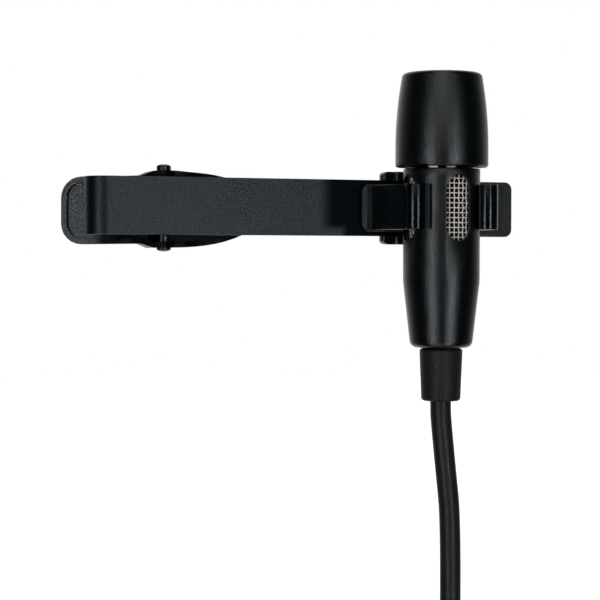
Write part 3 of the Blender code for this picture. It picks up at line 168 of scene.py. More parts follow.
def grain(tree, shader, scale, low, high, bump, detail=3.0):
    """Fine mottling: noise drives the roughness between low and high and lifts the surface a little."""
    place = node(tree, "ShaderNodeTexCoord").outputs["Object"]
    noise = node(tree, "ShaderNodeTexNoise", [("Vector", place), ("Scale", scale), ("Detail", detail)])
    values = [("From Min", NOISE_LOW), ("From Max", NOISE_HIGH), ("To Min", low), ("To Max", high)]
    spread = node(tree, "ShaderNodeMapRange", [("Value", noise.outputs["Fac"]), *values])
    tree.links.new(spread.outputs["Result"], shader.inputs["Roughness"])
    lift = node(
        tree,
        "ShaderNodeBump",
        [("Height", noise.outputs["Fac"]), ("Strength", bump), ("Distance", GRAIN_HEIGHT)],
    )
    tree.links.new(lift.outputs["Normal"], shader.inputs["Normal"])


def stands_for(piece, body, slot, *nodes):
    """The piece rides on a body and hides the CAD solids it replaces. The slot is not used."""
    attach(piece, body)
    if nodes:
        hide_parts(*nodes)
    print(piece.name, "rides on", body, "and stands for", ", ".join(nodes) or "nothing")
    return piece


# %% [markdown]
# ## Stage
# Two tall softboxes stand left and right of the camera, and everything behind the object is bright white.
# They are area lights here, which light the floor and the matt pieces and cast the shadow.

# %% Stage
SOFTBOX_REACH = 0.55
SOFTBOX_TALL = 0.9
SOFTBOX_WIDE = 0.35
SOFTBOX_LEVEL = 1.1
RIGHT_SHARE = 1.15
LEFT_BOX = math.radians(-33)
RIGHT_BOX = math.radians(30)
FLOOR_LIFT = 0.86
FLOOR_SIZE = 4.0
FLOOR_DROP = 2 * MM
FLOOR_TONE = (0.9, 0.9, 0.9)


def softbox(name, turn, level):
    """A tall light that faces the microphone from the given angle beside the camera."""
    away = Matrix.Rotation(turn, 3, "Z") @ -forward
    bpy.ops.object.light_add(type="AREA", location=mic_axis + away * SOFTBOX_REACH)
    made = bpy.context.object
    made.name = name
    made.data.shape = "RECTANGLE"
    made.data.size = SOFTBOX_WIDE
    made.data.size_y = SOFTBOX_TALL
    made.data.energy = level * math.pi * made.data.size * made.data.size_y
    made.rotation_mode = "QUATERNION"
    made.rotation_quaternion = (-away).to_track_quat("-Z", "Y")
    made.visible_glossy = False
    return made


softbox("softbox_left", LEFT_BOX, SOFTBOX_LEVEL)
softbox("softbox_right", RIGHT_BOX, SOFTBOX_LEVEL * RIGHT_SHARE)

low, high = first_size
bpy.ops.mesh.primitive_plane_add(size=FLOOR_SIZE, location=(0.0, 0.0, low.z - FLOOR_DROP))
floor = bpy.context.object
floor.name = "floor"
pale, tree, shader = finish("floor_white", FLOOR_TONE, 0.9)
to_camera = node(tree, "ShaderNodeLightPath").outputs["Is Camera Ray"]
lifted = node(tree, "ShaderNodeMath", [(0, to_camera), (1, FLOOR_LIFT)], operation="MULTIPLY")
shader.inputs["Emission Color"].default_value = (1.0, 1.0, 1.0, 1.0)
tree.links.new(lifted.outputs["Value"], shader.inputs["Emission Strength"])
floor.data.materials.append(pale)
floor.visible_glossy = False
print("stage: two softboxes and a pale floor")


# %% [markdown]
# ## Surround
# Black metal shows no colour of its own, so its whole look is what it mirrors. Round the object that is a
# narrow bright lamp on each side of the camera, a wide dim one above it, a dark studio, and then the white
# backdrop, which only the rims of a round part can see. The satin coats blur the lamps into broad streaks,
# and the glossier plastic shows them as thin lines. It is written as a brightness for each direction: how
# far round from the camera, and how high.

# %% Surround
# A mirrored lamp is its turn from the camera, its reach to either side and its peak. A height is 0 at the
# horizon and 1 overhead.
LAMP_LEFT = (LEFT_BOX, math.radians(4), 9.5)
LAMP_RIGHT = (RIGHT_BOX, math.radians(4), 10.5)
LAMP_ABOVE = (math.radians(-3), math.radians(36), 1.0)
LAMP_TOP = (0.06, 0.2)
ABOVE_START = (0.13, 0.3)
DARK = 0.008
BACKDROP_START = math.radians(92)
BACKDROP_FULL = math.radians(160)
BACKDROP_FALL = 2.2

world = bpy.data.worlds.new("studio")
bpy.context.scene.world = world
world.use_nodes = True
sky = world.node_tree
sky.nodes.clear()


def math_node(operation, *values):
    """One sum on the surround's node tree, with its result."""
    made = node(sky, "ShaderNodeMath", list(enumerate(values)), operation=operation)
    return made.outputs["Value"]


def along(direction):
    """How far the looked-at direction points along the given one."""
    links = [(0, toward.outputs["Generated"]), (1, tuple(direction))]
    return node(sky, "ShaderNodeVectorMath", links, operation="DOT_PRODUCT").outputs["Value"]


def fading(value, start, end, first=1.0, last=0.0):
    """A smooth change from the first brightness to the last as the value goes from start to end."""
    made = node(
        sky,
        "ShaderNodeMapRange",
        [("Value", value), ("From Min", start), ("From Max", end), ("To Min", first), ("To Max", last)],
        interpolation_type="SMOOTHSTEP",
    )
    return made.outputs["Result"]


def lamp(turn, centre, reach, peak):
    """A lamp as it is mirrored: its peak in the middle, fading smoothly to nothing on either side."""
    return fading(math_node("ABSOLUTE", math_node("SUBTRACT", turn, centre)), 0.0, reach, peak)


print("surround: tools for lamps ready")


# %% [markdown]
# ## Surround put together
# The side lamps fade out a little above the camera's height and the upper lamp fades in there. The backdrop
# rises behind the object, and the camera itself sees plain white, so the picture's background needs no
# extra light.

# %% Surround put together
seen = node(sky, "ShaderNodeLightPath")
toward = node(sky, "ShaderNodeTexCoord")
turn = math_node("ARCTAN2", along(right), along(-forward))
height = along((0, 0, 1))
sides = math_node("ADD", lamp(turn, *LAMP_LEFT), lamp(turn, *LAMP_RIGHT))
sides = math_node("MULTIPLY", sides, fading(height, *LAMP_TOP))
above = math_node("MULTIPLY", lamp(turn, *LAMP_ABOVE), fading(height, *ABOVE_START, 0.0, 1.0))
boxes = math_node("ADD", sides, above)
rise = node(
    sky,
    "ShaderNodeMapRange",
    [("Value", math_node("ABSOLUTE", turn)), ("From Min", BACKDROP_START), ("From Max", BACKDROP_FULL)],
)
backdrop = math_node("POWER", rise.outputs["Result"], BACKDROP_FALL)
brightness = math_node("ADD", math_node("ADD", boxes, backdrop), DARK)
level = node(
    sky,
    "ShaderNodeMix",
    [("Factor", seen.outputs["Is Camera Ray"]), ("A", brightness), ("B", 1.0)],
)
white = ("Color", (1.0, 1.0, 1.0, 1.0))
glow = node(sky, "ShaderNodeBackground", [white, ("Strength", level.outputs["Result"])])
node(sky, "ShaderNodeOutputWorld", [("Surface", glow.outputs["Background"])])
lamp_turns = [round(math.degrees(angle)) for angle in (LEFT_BOX, RIGHT_BOX)]
print("lamps at", lamp_turns, "degrees from the camera")


# %% [markdown]
# ## Lead
# The real lead is a thin jacketed cable about a metre and a half long. It leaves the strain relief with a
# slight set to one side, hangs straight and then goes round and round in a hank that a strap draws in at
# the waist. The same winding rule as the CAD's gives the path, only with many more points, so that its
# folds are round.

# %% Lead
CORD_DIAMETER = 2.2 * MM
HANK_TURNS = 2.5
HANK_LAYERS = 4
HANK_INNER = 5.8 * MM
HANK_STEP = 2.9 * MM
HANK_LAYER = 2.75 * MM
HANK_HALF_RUN = 21.5 * MM
HANK_WAIST = 4.2 * MM
RUN_SHARE = 0.125
RELIEF_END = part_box("strain_relief")[0].z
CORD_SUNK = 0.9 * MM
CORD_START = RELIEF_END + CORD_SUNK
HANK_POINTS = 984
HANK_LEAD_IN = 5 * MM
LEAD_STEP = 1.2 * MM
TAIL_KNOTS = (4.0 * MM, 9.0 * MM)
PAST_THE_FOLD = 1e-9  # keeps a point that falls on the end of a run out of the run before it
# The drop's knots, across and up from the strain relief's end, in millimetres.
DROP = [(0.0, -1.4), (0.34, -4.9), (0.67, -8.0), (0.97, -10.8), (1.12, -14.0), (1.18, -18.5), (1.18, -26.0)]
drop_x = mic_axis.x + DROP[-1][0] * MM
hank_x = drop_x - HANK_INNER - (HANK_TURNS + RUN_SHARE) * HANK_STEP
hank_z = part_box("hank_tie")[0].z / 2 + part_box("hank_tie")[1].z / 2


def eased(share):
    """A share from nothing to all that starts and ends gently."""
    share = min(1.0, max(0.0, share))
    return share * share * (3 - 2 * share)


def hank_point(turn):
    """A place on the hank: down the right run at whole turns, up the left run at half turns."""
    tightest = [HANK_TURNS * (2 * k + 1) for k in range(HANK_LAYERS // 2)]
    out = HANK_INNER + HANK_STEP * min(abs(turn - t) for t in tightest)
    climbs = [turn - HANK_TURNS * k for k in range(1, HANK_LAYERS)]
    y = mic_axis.y + HANK_LAYER * sum(eased(past / (2 * RUN_SHARE) + 0.5) for past in climbs)
    run = math.floor(2 * turn + 2 * RUN_SHARE)
    past = 2 * turn - run
    side = 1 if run % 2 == 0 else -1
    if past <= 2 * RUN_SHARE:
        up = -side * past / (2 * RUN_SHARE) * HANK_HALF_RUN
        drawn_in = HANK_WAIST * math.cos(math.pi / 2 * up / HANK_HALF_RUN) ** 2
        return Vector((hank_x + side * (out - drawn_in), y, hank_z + up))
    fold = (past - 2 * RUN_SHARE) / (1 - 4 * RUN_SHARE) * math.pi
    return Vector(
        (hank_x + side * out * math.cos(fold), y, hank_z - side * (HANK_HALF_RUN + out * math.sin(fold)))
    )


print("hank: folds about x =", round(hank_x / MM, 2), "z =", round(hank_z / MM, 2), "mm")


# %% [markdown]
# ## Curve of the lead
# The drop is a short list of knots, chosen so that the lead hangs as it does in the photograph,
# with a smooth line run through them. The hank's rule and the tail's knots go on from there. A curve with a
# round bevel makes the jacket, so the path stays easy to change.

# %% Curve of the lead
def smooth_line(points, step):
    """Points about a step apart on a smooth curve through the given ones."""
    knots = [Vector(p) for p in points]
    padded = [2 * knots[0] - knots[1], *knots, 2 * knots[-1] - knots[-2]]
    fine = []
    for a, b, c, d in zip(padded, padded[1:], padded[2:], padded[3:]):
        parts = max(1, round((c - b).length / step))
        for i in range(parts):
            t = i / parts
            bend = (2 * a - 5 * b + 4 * c - d) * t**2 + (3 * b - a - 3 * c + d) * t**3
            fine.append(0.5 * (2 * b + (c - a) * t + bend))
    fine.append(knots[-1])
    return fine


lead_line = [mic_axis + Vector((0.0, 0.0, CORD_START))]
lead_line += [mic_axis + Vector((x * MM, 0.0, RELIEF_END + z * MM)) for x, z in DROP]
first = -RUN_SHARE
last = HANK_TURNS * HANK_LAYERS + RUN_SHARE
turn_step = (last - first) / HANK_POINTS
turns = [hank_point(first + turn_step * i + PAST_THE_FOLD) for i in range(HANK_POINTS + 1)]
plug_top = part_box("plug_boot")[1].z
tail = [turns[-1] - Vector((0, 0, drop)) for drop in TAIL_KNOTS]
tail.append(Vector((plug_axis.x, plug_axis.y, plug_top - CORD_SUNK)))
down_to_hank = smooth_line(lead_line + [turns[0] + Vector((0, 0, HANK_LEAD_IN))], LEAD_STEP)[:-1]
lead_line = down_to_hank + turns + tail

lead_curve = bpy.data.curves.new("lead", "CURVE")
lead_curve.dimensions = "3D"
lead_curve.bevel_depth = CORD_DIAMETER / 2
lead_curve.bevel_resolution = 8
lead_curve.use_fill_caps = True
spline = lead_curve.splines.new("POLY")
spline.points.add(len(lead_line) - 1)
for knot, spot in zip(spline.points, lead_line):
    knot.co = (*spot, 1.0)
lead = bpy.data.objects.new("lead", lead_curve)
bpy.context.scene.collection.objects.link(lead)


# %% [markdown]
# ## Finishes
# Nearly everything on the outside is black, and what tells the parts apart is how they shine. Blackened
# metal is a thin hard coat, so it is shaded as a dark surface with a clear gloss: almost no colour of its
# own, and a reflection that the index of refraction sets. A fine noise breaks that reflection up, as the
# satin coat does.

# %% Finishes
COAT_TINT = (0.90, 0.96, 1.0, 1.0)


def black_coat(name, colour, ior, low, high, scale, bump):
    """A black finish whose gloss wanders between two roughnesses over a fine grain."""
    made, tree, shader = finish(name, colour, low, ior=ior)
    shader.inputs["Specular Tint"].default_value = COAT_TINT
    grain(tree, shader, scale, low, high, bump)
    return made


def bright_metal(name, colour, low, high, scale, bump, metallic=1.0):
    """Bare or plated metal; a lower metallic value makes it as milky as tinned wire."""
    made, tree, shader = finish(name, colour, low, metallic=metallic)
    grain(tree, shader, scale, low, high, bump)
    return made


# A coat is its colour, index of refraction, least and most roughness, grain per metre and lift.
clip_black = black_coat("clip_black", (0.0001, 0.0026, 0.0048), 1.66, 0.32, 0.42, 6400, 0.5)
body_black = black_coat("body_black", (0.0001, 0.0014, 0.0024), 1.84, 0.28, 0.36, 6400, 0.5)
moulded_black = black_coat("moulded_black", (0.0001, 0.0020, 0.0034), 1.6, 0.34, 0.46, 5200, 0.6)
lip_black = black_coat("lip_black", (0.0001, 0.0020, 0.0034), 1.6, 0.08, 0.18, 9000, 0.22)
rubber_black = black_coat("rubber_matt", (0.0110, 0.0120, 0.0130), 1.5, 0.42, 0.62, 6500, 0.60)
insert_black = black_coat("insert_plastic", (0.012, 0.012, 0.013), 1.5, 0.35, 0.5, 6000, 0.2)
plain_steel = bright_metal("plain_steel", (0.62, 0.61, 0.59), 0.22, 0.36, 9000, 0.1)
wire_steel = bright_metal("wire_steel", (0.97, 0.90, 0.87), 0.26, 0.34, 16000, 0.01, metallic=0.4)
carrier_black = bright_metal("carrier_black", (0.055, 0.050, 0.048), 0.08, 0.12, 8000, 0.02)
lining_black = black_coat("lining_black", (0.003, 0.003, 0.003), 1.3, 0.8, 0.95, 5000, 0.5)
gold_plate = bright_metal("gold_plate", (0.90, 0.68, 0.30), 0.16, 0.26, 8000, 0.05)
foam_grey = black_coat("foam_open", (0.05, 0.05, 0.055), 1.4, 0.85, 1.0, 5000, 0.9)
board_green = black_coat("solder_mask", (0.03, 0.16, 0.07), 1.5, 0.3, 0.45, 4000, 0.1)
core_red = black_coat("core_red", (0.45, 0.03, 0.03), 1.5, 0.35, 0.5, 5000, 0.1)
core_white = black_coat("core_white", (0.75, 0.75, 0.73), 1.5, 0.35, 0.5, 5000, 0.1)
print("finishes made:", len(bpy.data.materials))


# %% [markdown]
# ## Painted shade on the clip
# The arm and the lever have one coat. Beside the holder the arm lies in the holder's shade, and the
# photograph shows it nearly black there, with a soft edge that runs back under the finger. The lever lies
# in the arm's shade but for its press plate and its jaw. The lamps are part of the surround here and cast
# no shade, so the coat's gloss is taken down over those places instead.

# %% Painted shade on the clip
# Each span is where a painted shade starts and where it is full, along the arm or up it.
SHADE_LEFT = (-11.2 * MM, -9.3 * MM)
SHADE_LOW = (-2.6 * MM, -1.7 * MM)
SHADE_LOW_LEFT = (-8.8 * MM, -7.6 * MM)
SHADE_RIGHT = (6.8 * MM, 5.6 * MM)
PLATE_SHADE = (-34.0 * MM, -32.6 * MM)
JAW_SHADE = (-3.4 * MM, -4.6 * MM)


def ramp(tree, place, axis, span):
    """A smooth step from nothing at the span's first place on an axis to full at its second."""
    split = node(tree, "ShaderNodeSeparateXYZ", [("Vector", place.outputs["Object"])])
    made = node(
        tree,
        "ShaderNodeMapRange",
        [("Value", split.outputs[axis]), ("From Min", span[0]), ("From Max", span[1])],
        interpolation_type="SMOOTHSTEP",
    )
    return made.outputs["Result"]


def product(tree, first, second):
    """Two masks multiplied, so that only what both cover is left."""
    return node(tree, "ShaderNodeMath", [(0, first), (1, second)], operation="MULTIPLY").outputs["Value"]


def shaded(name, full, low):
    """A copy of the clip's coat whose gloss goes from full to low under a painted shade, and the pieces to
    say where.
    """
    made = clip_black.copy()
    made.name = name
    tree = made.node_tree
    gloss = node(tree, "ShaderNodeMapRange", [("To Min", full), ("To Max", low)])
    tree.links.new(gloss.outputs["Result"], tree.nodes["Principled BSDF"].inputs["Specular IOR Level"])
    return made, tree, node(tree, "ShaderNodeTexCoord"), gloss.inputs["Value"]


# The arm's painted shade: its gloss is taken down beside the holder, above its lower strip at first and over
# its whole width further right, and let up again at its right end.
arm_coat_painted_shade, tree, place, where = shaded("arm_coat_painted_shade", full=0.5, low=0.03)
painted_shade_low_part = node(
    tree,
    "ShaderNodeMath",
    [(0, ramp(tree, place, "Z", SHADE_LOW)), (1, ramp(tree, place, "X", SHADE_LOW_LEFT))],
    operation="MAXIMUM",
)
beside = product(tree, ramp(tree, place, "X", SHADE_LEFT), ramp(tree, place, "X", SHADE_RIGHT))
tree.links.new(product(tree, beside, painted_shade_low_part.outputs["Value"]), where)
# The lever's painted shade: its gloss is taken down under the arm, from its press plate to its jaw.
lever_coat_painted_shade, tree, place, where = shaded("lever_coat_painted_shade", full=0.9, low=0.1)
painted_shade_under_arm = product(tree, ramp(tree, place, "X", PLATE_SHADE), ramp(tree, place, "X", JAW_SHADE))
tree.links.new(painted_shade_under_arm, where)
print("shaded coats:", arm_coat_painted_shade.name, lever_coat_painted_shade.name)


# %% [markdown]
# ## Finish of the lead
# The jacket is satin plastic over a twisted core. It shows a soft broken streak rather than a sharp one, so
# the same fine grain as on the coats lifts its surface a little and lets its gloss wander.

# %% Finish of the lead
jacket_black, tree, shader = finish("jacket_black", (0.012, 0.013, 0.014), 0.4)
grain(tree, shader, 5200, 0.34, 0.52, 0.30)
lead_curve.materials.append(jacket_black)
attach(lead, "microphone")
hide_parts("cord_drop", "cord_hank", "cord_tail")


# %% [markdown]
# ## Turned pieces
# The housing, the cap and the strain relief come off a lathe or out of a round mould. A circle is drawn at
# the first point of the outline and its edge is pulled from point to point, growing or shrinking as the
# outline does, which is quicker to correct than a spin and leaves clean rings.

# %% Turned pieces
MERGE_NEAR = 0.001 * MM


def arc(centre_r, centre_z, radius, start, end, steps):
    """Points of an arc in a turned outline, ends included, with the angles in degrees."""
    return [
        (
            centre_r + radius * math.cos(math.radians(start + (end - start) * i / steps)),
            centre_z + radius * math.sin(math.radians(start + (end - start) * i / steps)),
        )
        for i in range(steps + 1)
    ]


def smoothed(piece, angle=32):
    """Merges doubles, turns the faces out and shades the piece smooth between its sharp edges."""
    bpy.ops.object.select_all(action="DESELECT")
    bpy.context.view_layer.objects.active = piece
    piece.select_set(True)
    bpy.ops.object.mode_set(mode="EDIT")
    bpy.ops.mesh.select_all(action="SELECT")
    bpy.ops.mesh.remove_doubles(threshold=MERGE_NEAR)
    bpy.ops.mesh.normals_make_consistent(inside=False)
    bpy.ops.object.mode_set(mode="OBJECT")
    bpy.ops.object.shade_smooth_by_angle(angle=math.radians(angle))
    return piece


def lathed(name, outline, axis, material, sides=96):
    """Pulls a circle's edge along an outline of (radius, height). A closed outline ends where it starts."""
    radius, z = outline[0]
    bpy.ops.object.select_all(action="DESELECT")
    bpy.ops.mesh.primitive_circle_add(vertices=sides, radius=radius, location=axis + Vector((0, 0, z)))
    piece = bpy.context.object
    piece.name = name
    bpy.ops.object.transform_apply(location=True, rotation=True, scale=True)
    bpy.ops.object.mode_set(mode="EDIT")
    bpy.ops.mesh.select_all(action="SELECT")
    for (old, low), (new, high) in zip(outline, outline[1:]):
        bpy.ops.mesh.extrude_edges_move(TRANSFORM_OT_translate={"value": (0, 0, high - low)})
        bpy.ops.transform.resize(value=(new / old, new / old, 1), center_override=axis)
    bpy.ops.object.mode_set(mode="OBJECT")
    piece.data.materials.append(material)
    return smoothed(piece)


print("lathe ready")


# %% [markdown]
# ## Housing
# The housing is a tube, blackened, with a tapered tail. It is lathed as a wall with a real thickness, so
# that the wall shows at the rims of the windows. Its length and shoulder come from the solid's box.

# %% Housing
BODY_RADIUS = 4.02 * MM
WALL_BORE = 3.5 * MM
RIM = 0.08 * MM
SHOULDER_RUN = 0.9 * MM
TAPER_TOP = 7.2 * MM
TAPER_EASE = 0.4 * MM
EASE_IN = 0.02 * MM
TAIL_RADIUS = 3.30 * MM
TAIL_ROUND = 0.75 * MM
TAIL_FLOOR = 1.4 * MM
TAIL_SEAT = 2.55 * MM
CORD_HOLE = 1.75 * MM
CHAMFER = 0.1 * MM
FINE_SIDES = 128
low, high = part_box("mic_housing")
shoulder = (high.x - low.x) / 2
top = high.z
bottom = low.z
taper_start = bottom + TAPER_TOP - TAPER_EASE
outline = [
    (WALL_BORE, top - RIM),
    (WALL_BORE + RIM, top),
    (shoulder - 2 * RIM, top),
    (shoulder - 0.6 * RIM, top - 0.5 * RIM),
    (shoulder, top - 2 * RIM),
    (BODY_RADIUS, top - SHOULDER_RUN),
    (BODY_RADIUS, bottom + TAPER_TOP),
    (BODY_RADIUS - EASE_IN, taper_start),
    (TAIL_RADIUS + EASE_IN, bottom + TAIL_ROUND + CHAMFER),
    *arc(TAIL_RADIUS - TAIL_ROUND, bottom + TAIL_ROUND, TAIL_ROUND, 0, -90, 8),
    (CORD_HOLE + CHAMFER, bottom),
    (CORD_HOLE, bottom + CHAMFER),
    (CORD_HOLE, bottom + TAIL_FLOOR),
    (TAIL_SEAT, bottom + TAIL_FLOOR),
    (WALL_BORE, taper_start),
    (WALL_BORE, top - RIM),
]
housing = lathed("housing", outline, mic_axis, body_black, FINE_SIDES)
print("housing wall faces:", len(housing.data.polygons), "height", round((top - bottom) / MM, 2), "mm")


# %% [markdown]
# ## Windows
# Sound gets in through four long windows round the housing. Each pair is milled by one bar with round ends
# that passes right through, so two cuts at right angles make all four. A small bevel takes the sharpness
# off the rims.

# %% Windows
WINDOW_WIDTH = 2.8 * MM
WINDOW_HEIGHT = 6.8 * MM
WINDOW_MIDDLE = -0.1 * MM
WINDOW_TURN = math.radians(4.5)
WINDOW_EDGE = 0.07 * MM
CUTTER_LENGTH = 20 * MM
SHARP_EDGE = math.radians(50)


def window_cutter(turn):
    """A bar with a round-ended section that passes right through the housing."""
    bpy.ops.object.select_all(action="DESELECT")
    bpy.ops.mesh.primitive_cylinder_add(
        vertices=64,
        radius=WINDOW_WIDTH / 2,
        depth=CUTTER_LENGTH,
        rotation=(math.pi / 2, 0, turn),
        location=mic_axis + Vector((0, 0, WINDOW_MIDDLE)),
    )
    bar = bpy.context.object
    bpy.ops.object.transform_apply(location=True, rotation=True, scale=True)
    reach = (WINDOW_HEIGHT - WINDOW_WIDTH) / 2
    for vertex in bar.data.vertices:
        up = vertex.co.z - WINDOW_MIDDLE
        if abs(up) > 0.01 * MM:
            vertex.co.z += math.copysign(reach, up)
    return bar


for number in range(2):
    bar = window_cutter(WINDOW_TURN + number * TURN / 4)
    cut = housing.modifiers.new("window", "BOOLEAN")
    cut.object = bar
    cut.solver = "EXACT"
    bpy.context.view_layer.objects.active = housing
    bpy.ops.object.modifier_apply(modifier=cut.name)
    bpy.data.objects.remove(bar)
edge = housing.modifiers.new("window edge", "BEVEL")
edge.width = WINDOW_EDGE
edge.segments = 2
edge.limit_method = "ANGLE"
edge.angle_limit = SHARP_EDGE
bpy.ops.object.modifier_apply(modifier=edge.name)
smoothed(housing, 40)
stands_for(housing, "microphone", "satin_black", "mic_housing")
print("housing faces:", len(housing.data.polygons))


# %% [markdown]
# ## Wires
# A wire is a line of points with a round section. Modelling one as a curve and turning it into a mesh at
# the end is quicker than sweeping a circle by hand, and all the wires that run the same way make one
# object.

# %% Wires
def wire_curve(name, lines, radius, closed):
    """One curve object with a round wire along each line of points."""
    curve = bpy.data.curves.new(name, "CURVE")
    curve.dimensions = "3D"
    curve.bevel_depth = radius
    curve.bevel_resolution = 1
    curve.use_fill_caps = True
    for line in lines:
        strand = curve.splines.new("POLY")
        strand.points.add(len(line) - 1)
        strand.use_cyclic_u = closed
        for knot, spot in zip(strand.points, line):
            knot.co = (*spot, 1.0)
    made = bpy.data.objects.new(name, curve)
    bpy.context.scene.collection.objects.link(made)
    bpy.ops.object.select_all(action="DESELECT")
    bpy.context.view_layer.objects.active = made
    made.select_set(True)
    bpy.ops.object.convert(target="MESH")
    bpy.ops.object.shade_smooth()
    return made


print("wire maker ready")


# %% [markdown]
# ## Woven mesh
# Behind the windows sits a sleeve of woven wire that keeps lint out and lets sound in. Each wire of a weave
# goes over one neighbour and under the next, so the rings and the posts are waves of opposite phase.

# %% Woven mesh
MESH_RADIUS = 3.3 * MM
WIRE_RADIUS = 0.066 * MM
WEAVE = 0.075 * MM
POSTS = 40
RINGS = 15
WEAVE_PITCH = 0.51 * MM
WIRE_STEPS = 6


def ring_line(ring):
    line = []
    for i in range(POSTS * WIRE_STEPS):
        angle = TURN * i / (POSTS * WIRE_STEPS)
        out = MESH_RADIUS + WEAVE * math.cos(POSTS / 2 * angle + math.pi * ring)
        up = WINDOW_MIDDLE + (ring - (RINGS - 1) / 2) * WEAVE_PITCH
        line.append(mic_axis + Vector((out * math.cos(angle), out * math.sin(angle), up)))
    return line


def post_line(post):
    line = []
    angle = TURN * post / POSTS
    for i in range((RINGS - 1) * WIRE_STEPS + 1):
        row = i / WIRE_STEPS
        out = MESH_RADIUS - WEAVE * math.cos(math.pi * (row + post))
        up = WINDOW_MIDDLE + (row - (RINGS - 1) / 2) * WEAVE_PITCH
        line.append(mic_axis + Vector((out * math.cos(angle), out * math.sin(angle), up)))
    return line


rings = wire_curve("mesh_rings", [ring_line(k) for k in range(RINGS)], WIRE_RADIUS, True)
posts = wire_curve("mesh_posts", [post_line(k) for k in range(POSTS)], WIRE_RADIUS, False)
for wires in (rings, posts):
    wires.data.materials.clear()
    wires.data.materials.append(wire_steel)
    stands_for(wires, "microphone", "mesh_steel", "window_mesh")
print("mesh faces:", len(rings.data.polygons) + len(posts.data.polygons))


# %% [markdown]
# ## Lining
# The photograph shows nothing but black behind the wires. Heads of this kind often have a sleeve of thin
# dark cloth there against dust and wind, so that is the guess made here. A plain turned wall just inside
# the wires is enough, because only its outside is seen, and it hides the far side of the weave.

# %% Lining
LINING_OUTER = 3.08 * MM
LINING_INNER = 2.96 * MM
LINING_HALF = 3.55 * MM
lining_low = WINDOW_MIDDLE - LINING_HALF
lining_high = WINDOW_MIDDLE + LINING_HALF
outline = [
    (LINING_INNER, lining_high),
    (LINING_OUTER, lining_high),
    (LINING_OUTER, lining_low),
    (LINING_INNER, lining_low),
    (LINING_INNER, lining_high),
]
lining = lathed("cloth_lining", outline, mic_axis, lining_black)
stands_for(lining, "microphone", "foam_grey")
print("lining from", round(lining_low / MM, 2), "to", round(lining_high / MM, 2), "mm")


# %% [markdown]
# ## Cap
# The cap is a heavy turned ring with a long, hardly visible crown. Its base edge is crisp and its top edge
# is rounded, and a plain lip holds the mesh disc. The crown's arc is so flat that eight rings are enough.

# %% Cap
CAP_CROWN = 44.3 * MM
CAP_CORNER = 0.5 * MM
CAP_STRAIGHT = 1.8 * MM
CROWN_RINGS = 8
CAP_BORE = 3.9 * MM
BASE_EDGE = [(0.15 * MM, 0.0), (0.03 * MM, 0.1 * MM), (0.0, 0.18 * MM)]  # in from the side, up from the base
MOUTH = 2.9 * MM
MOUTH_EDGE = 0.08 * MM
MOUTH_DEEP = 0.7 * MM
SEAT_BORE = 3.7 * MM
SEAT_DEEP = 2.1 * MM
BORE_DEEP = 2.8 * MM
low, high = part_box("cap")
cap_radius = (high.x - low.x) / 2
crown_low = low.z + CAP_STRAIGHT
crown_high = high.z - CAP_CORNER
crown = []
for i in range(CROWN_RINGS + 1):
    z = crown_low + (crown_high - crown_low) * i / CROWN_RINGS
    crown.append((cap_radius - CAP_CROWN + math.sqrt(CAP_CROWN**2 - (z - crown_low) ** 2), z))
head = crown[-1][0] - CAP_CORNER
outline = [
    (CAP_BORE, low.z),
    *[(cap_radius - into, low.z + up) for into, up in BASE_EDGE],
    *crown,
    *arc(head, crown_high, CAP_CORNER, 0, 90, 8)[1:],
    (MOUTH + MOUTH_EDGE, high.z),
    (MOUTH, high.z - MOUTH_EDGE),
    (MOUTH, high.z - MOUTH_DEEP),
    (SEAT_BORE, high.z - MOUTH_DEEP),
    (SEAT_BORE, high.z - SEAT_DEEP),
    (CAP_BORE, high.z - BORE_DEEP),
    (CAP_BORE, low.z),
]
cap = lathed("cap_turned", outline, mic_axis, body_black, FINE_SIDES)
stands_for(cap, "cap", "satin_black", "cap")
print("cap radius", round(cap_radius / MM, 2), "mm, top", round(high.z / MM, 2), "mm")


# %% [markdown]
# ## Strain relief
# A moulded rubber sleeve leads the cable out of the housing. It tapers a little and has a soft mould-worn
# edge at both ends. It is lathed solid down to the socket that the lead comes out of.

# %% Strain relief
SLEEVE_GAP = 0.1 * MM
SLEEVE_TOP = 2.25 * MM
SLEEVE_TOP_ROUND = 0.3 * MM
SLEEVE_END = 2.065 * MM
SLEEVE_END_ROUND = 0.35 * MM
ROOT_RADIUS = 2.2 * MM
ROOT_TALL = 0.6 * MM
WAIST_RADIUS = 1.6 * MM
SOCKET_RADIUS = 1.22 * MM
SOCKET_MOUTH = 1.3 * MM
SOCKET_DEEP = 1.2 * MM
CENTRE = 0.02 * MM  # a lathed ring can't shrink to nothing, so the solid middle is a ring too small to see
low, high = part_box("strain_relief")
relief_top = bottom - SLEEVE_GAP
top_corner = (SLEEVE_TOP - SLEEVE_TOP_ROUND, relief_top - SLEEVE_TOP_ROUND, SLEEVE_TOP_ROUND)
end_corner = (SLEEVE_END - SLEEVE_END_ROUND, low.z + SLEEVE_END_ROUND, SLEEVE_END_ROUND)
outline = [
    (CENTRE, high.z),
    (ROOT_RADIUS, high.z),
    (ROOT_RADIUS, high.z - ROOT_TALL),
    (WAIST_RADIUS, high.z - ROOT_TALL),
    (WAIST_RADIUS, relief_top),
    *arc(*top_corner, 90, 0, 5),
    (SLEEVE_END, low.z + SLEEVE_END_ROUND),
    *arc(*end_corner, 0, -90, 5)[1:],
    (SOCKET_MOUTH, low.z),
    (SOCKET_RADIUS, low.z + CHAMFER),
    (SOCKET_RADIUS, low.z + SOCKET_DEEP),
    (CENTRE, low.z + SOCKET_DEEP),
    (CENTRE, high.z),
]
relief = lathed("relief_sleeve", outline, mic_axis, rubber_black, 96)
stands_for(relief, "microphone", "rubber_black", "strain_relief")
print("strain relief from", round(low.z / MM, 2), "to", round(relief_top / MM, 2), "mm")


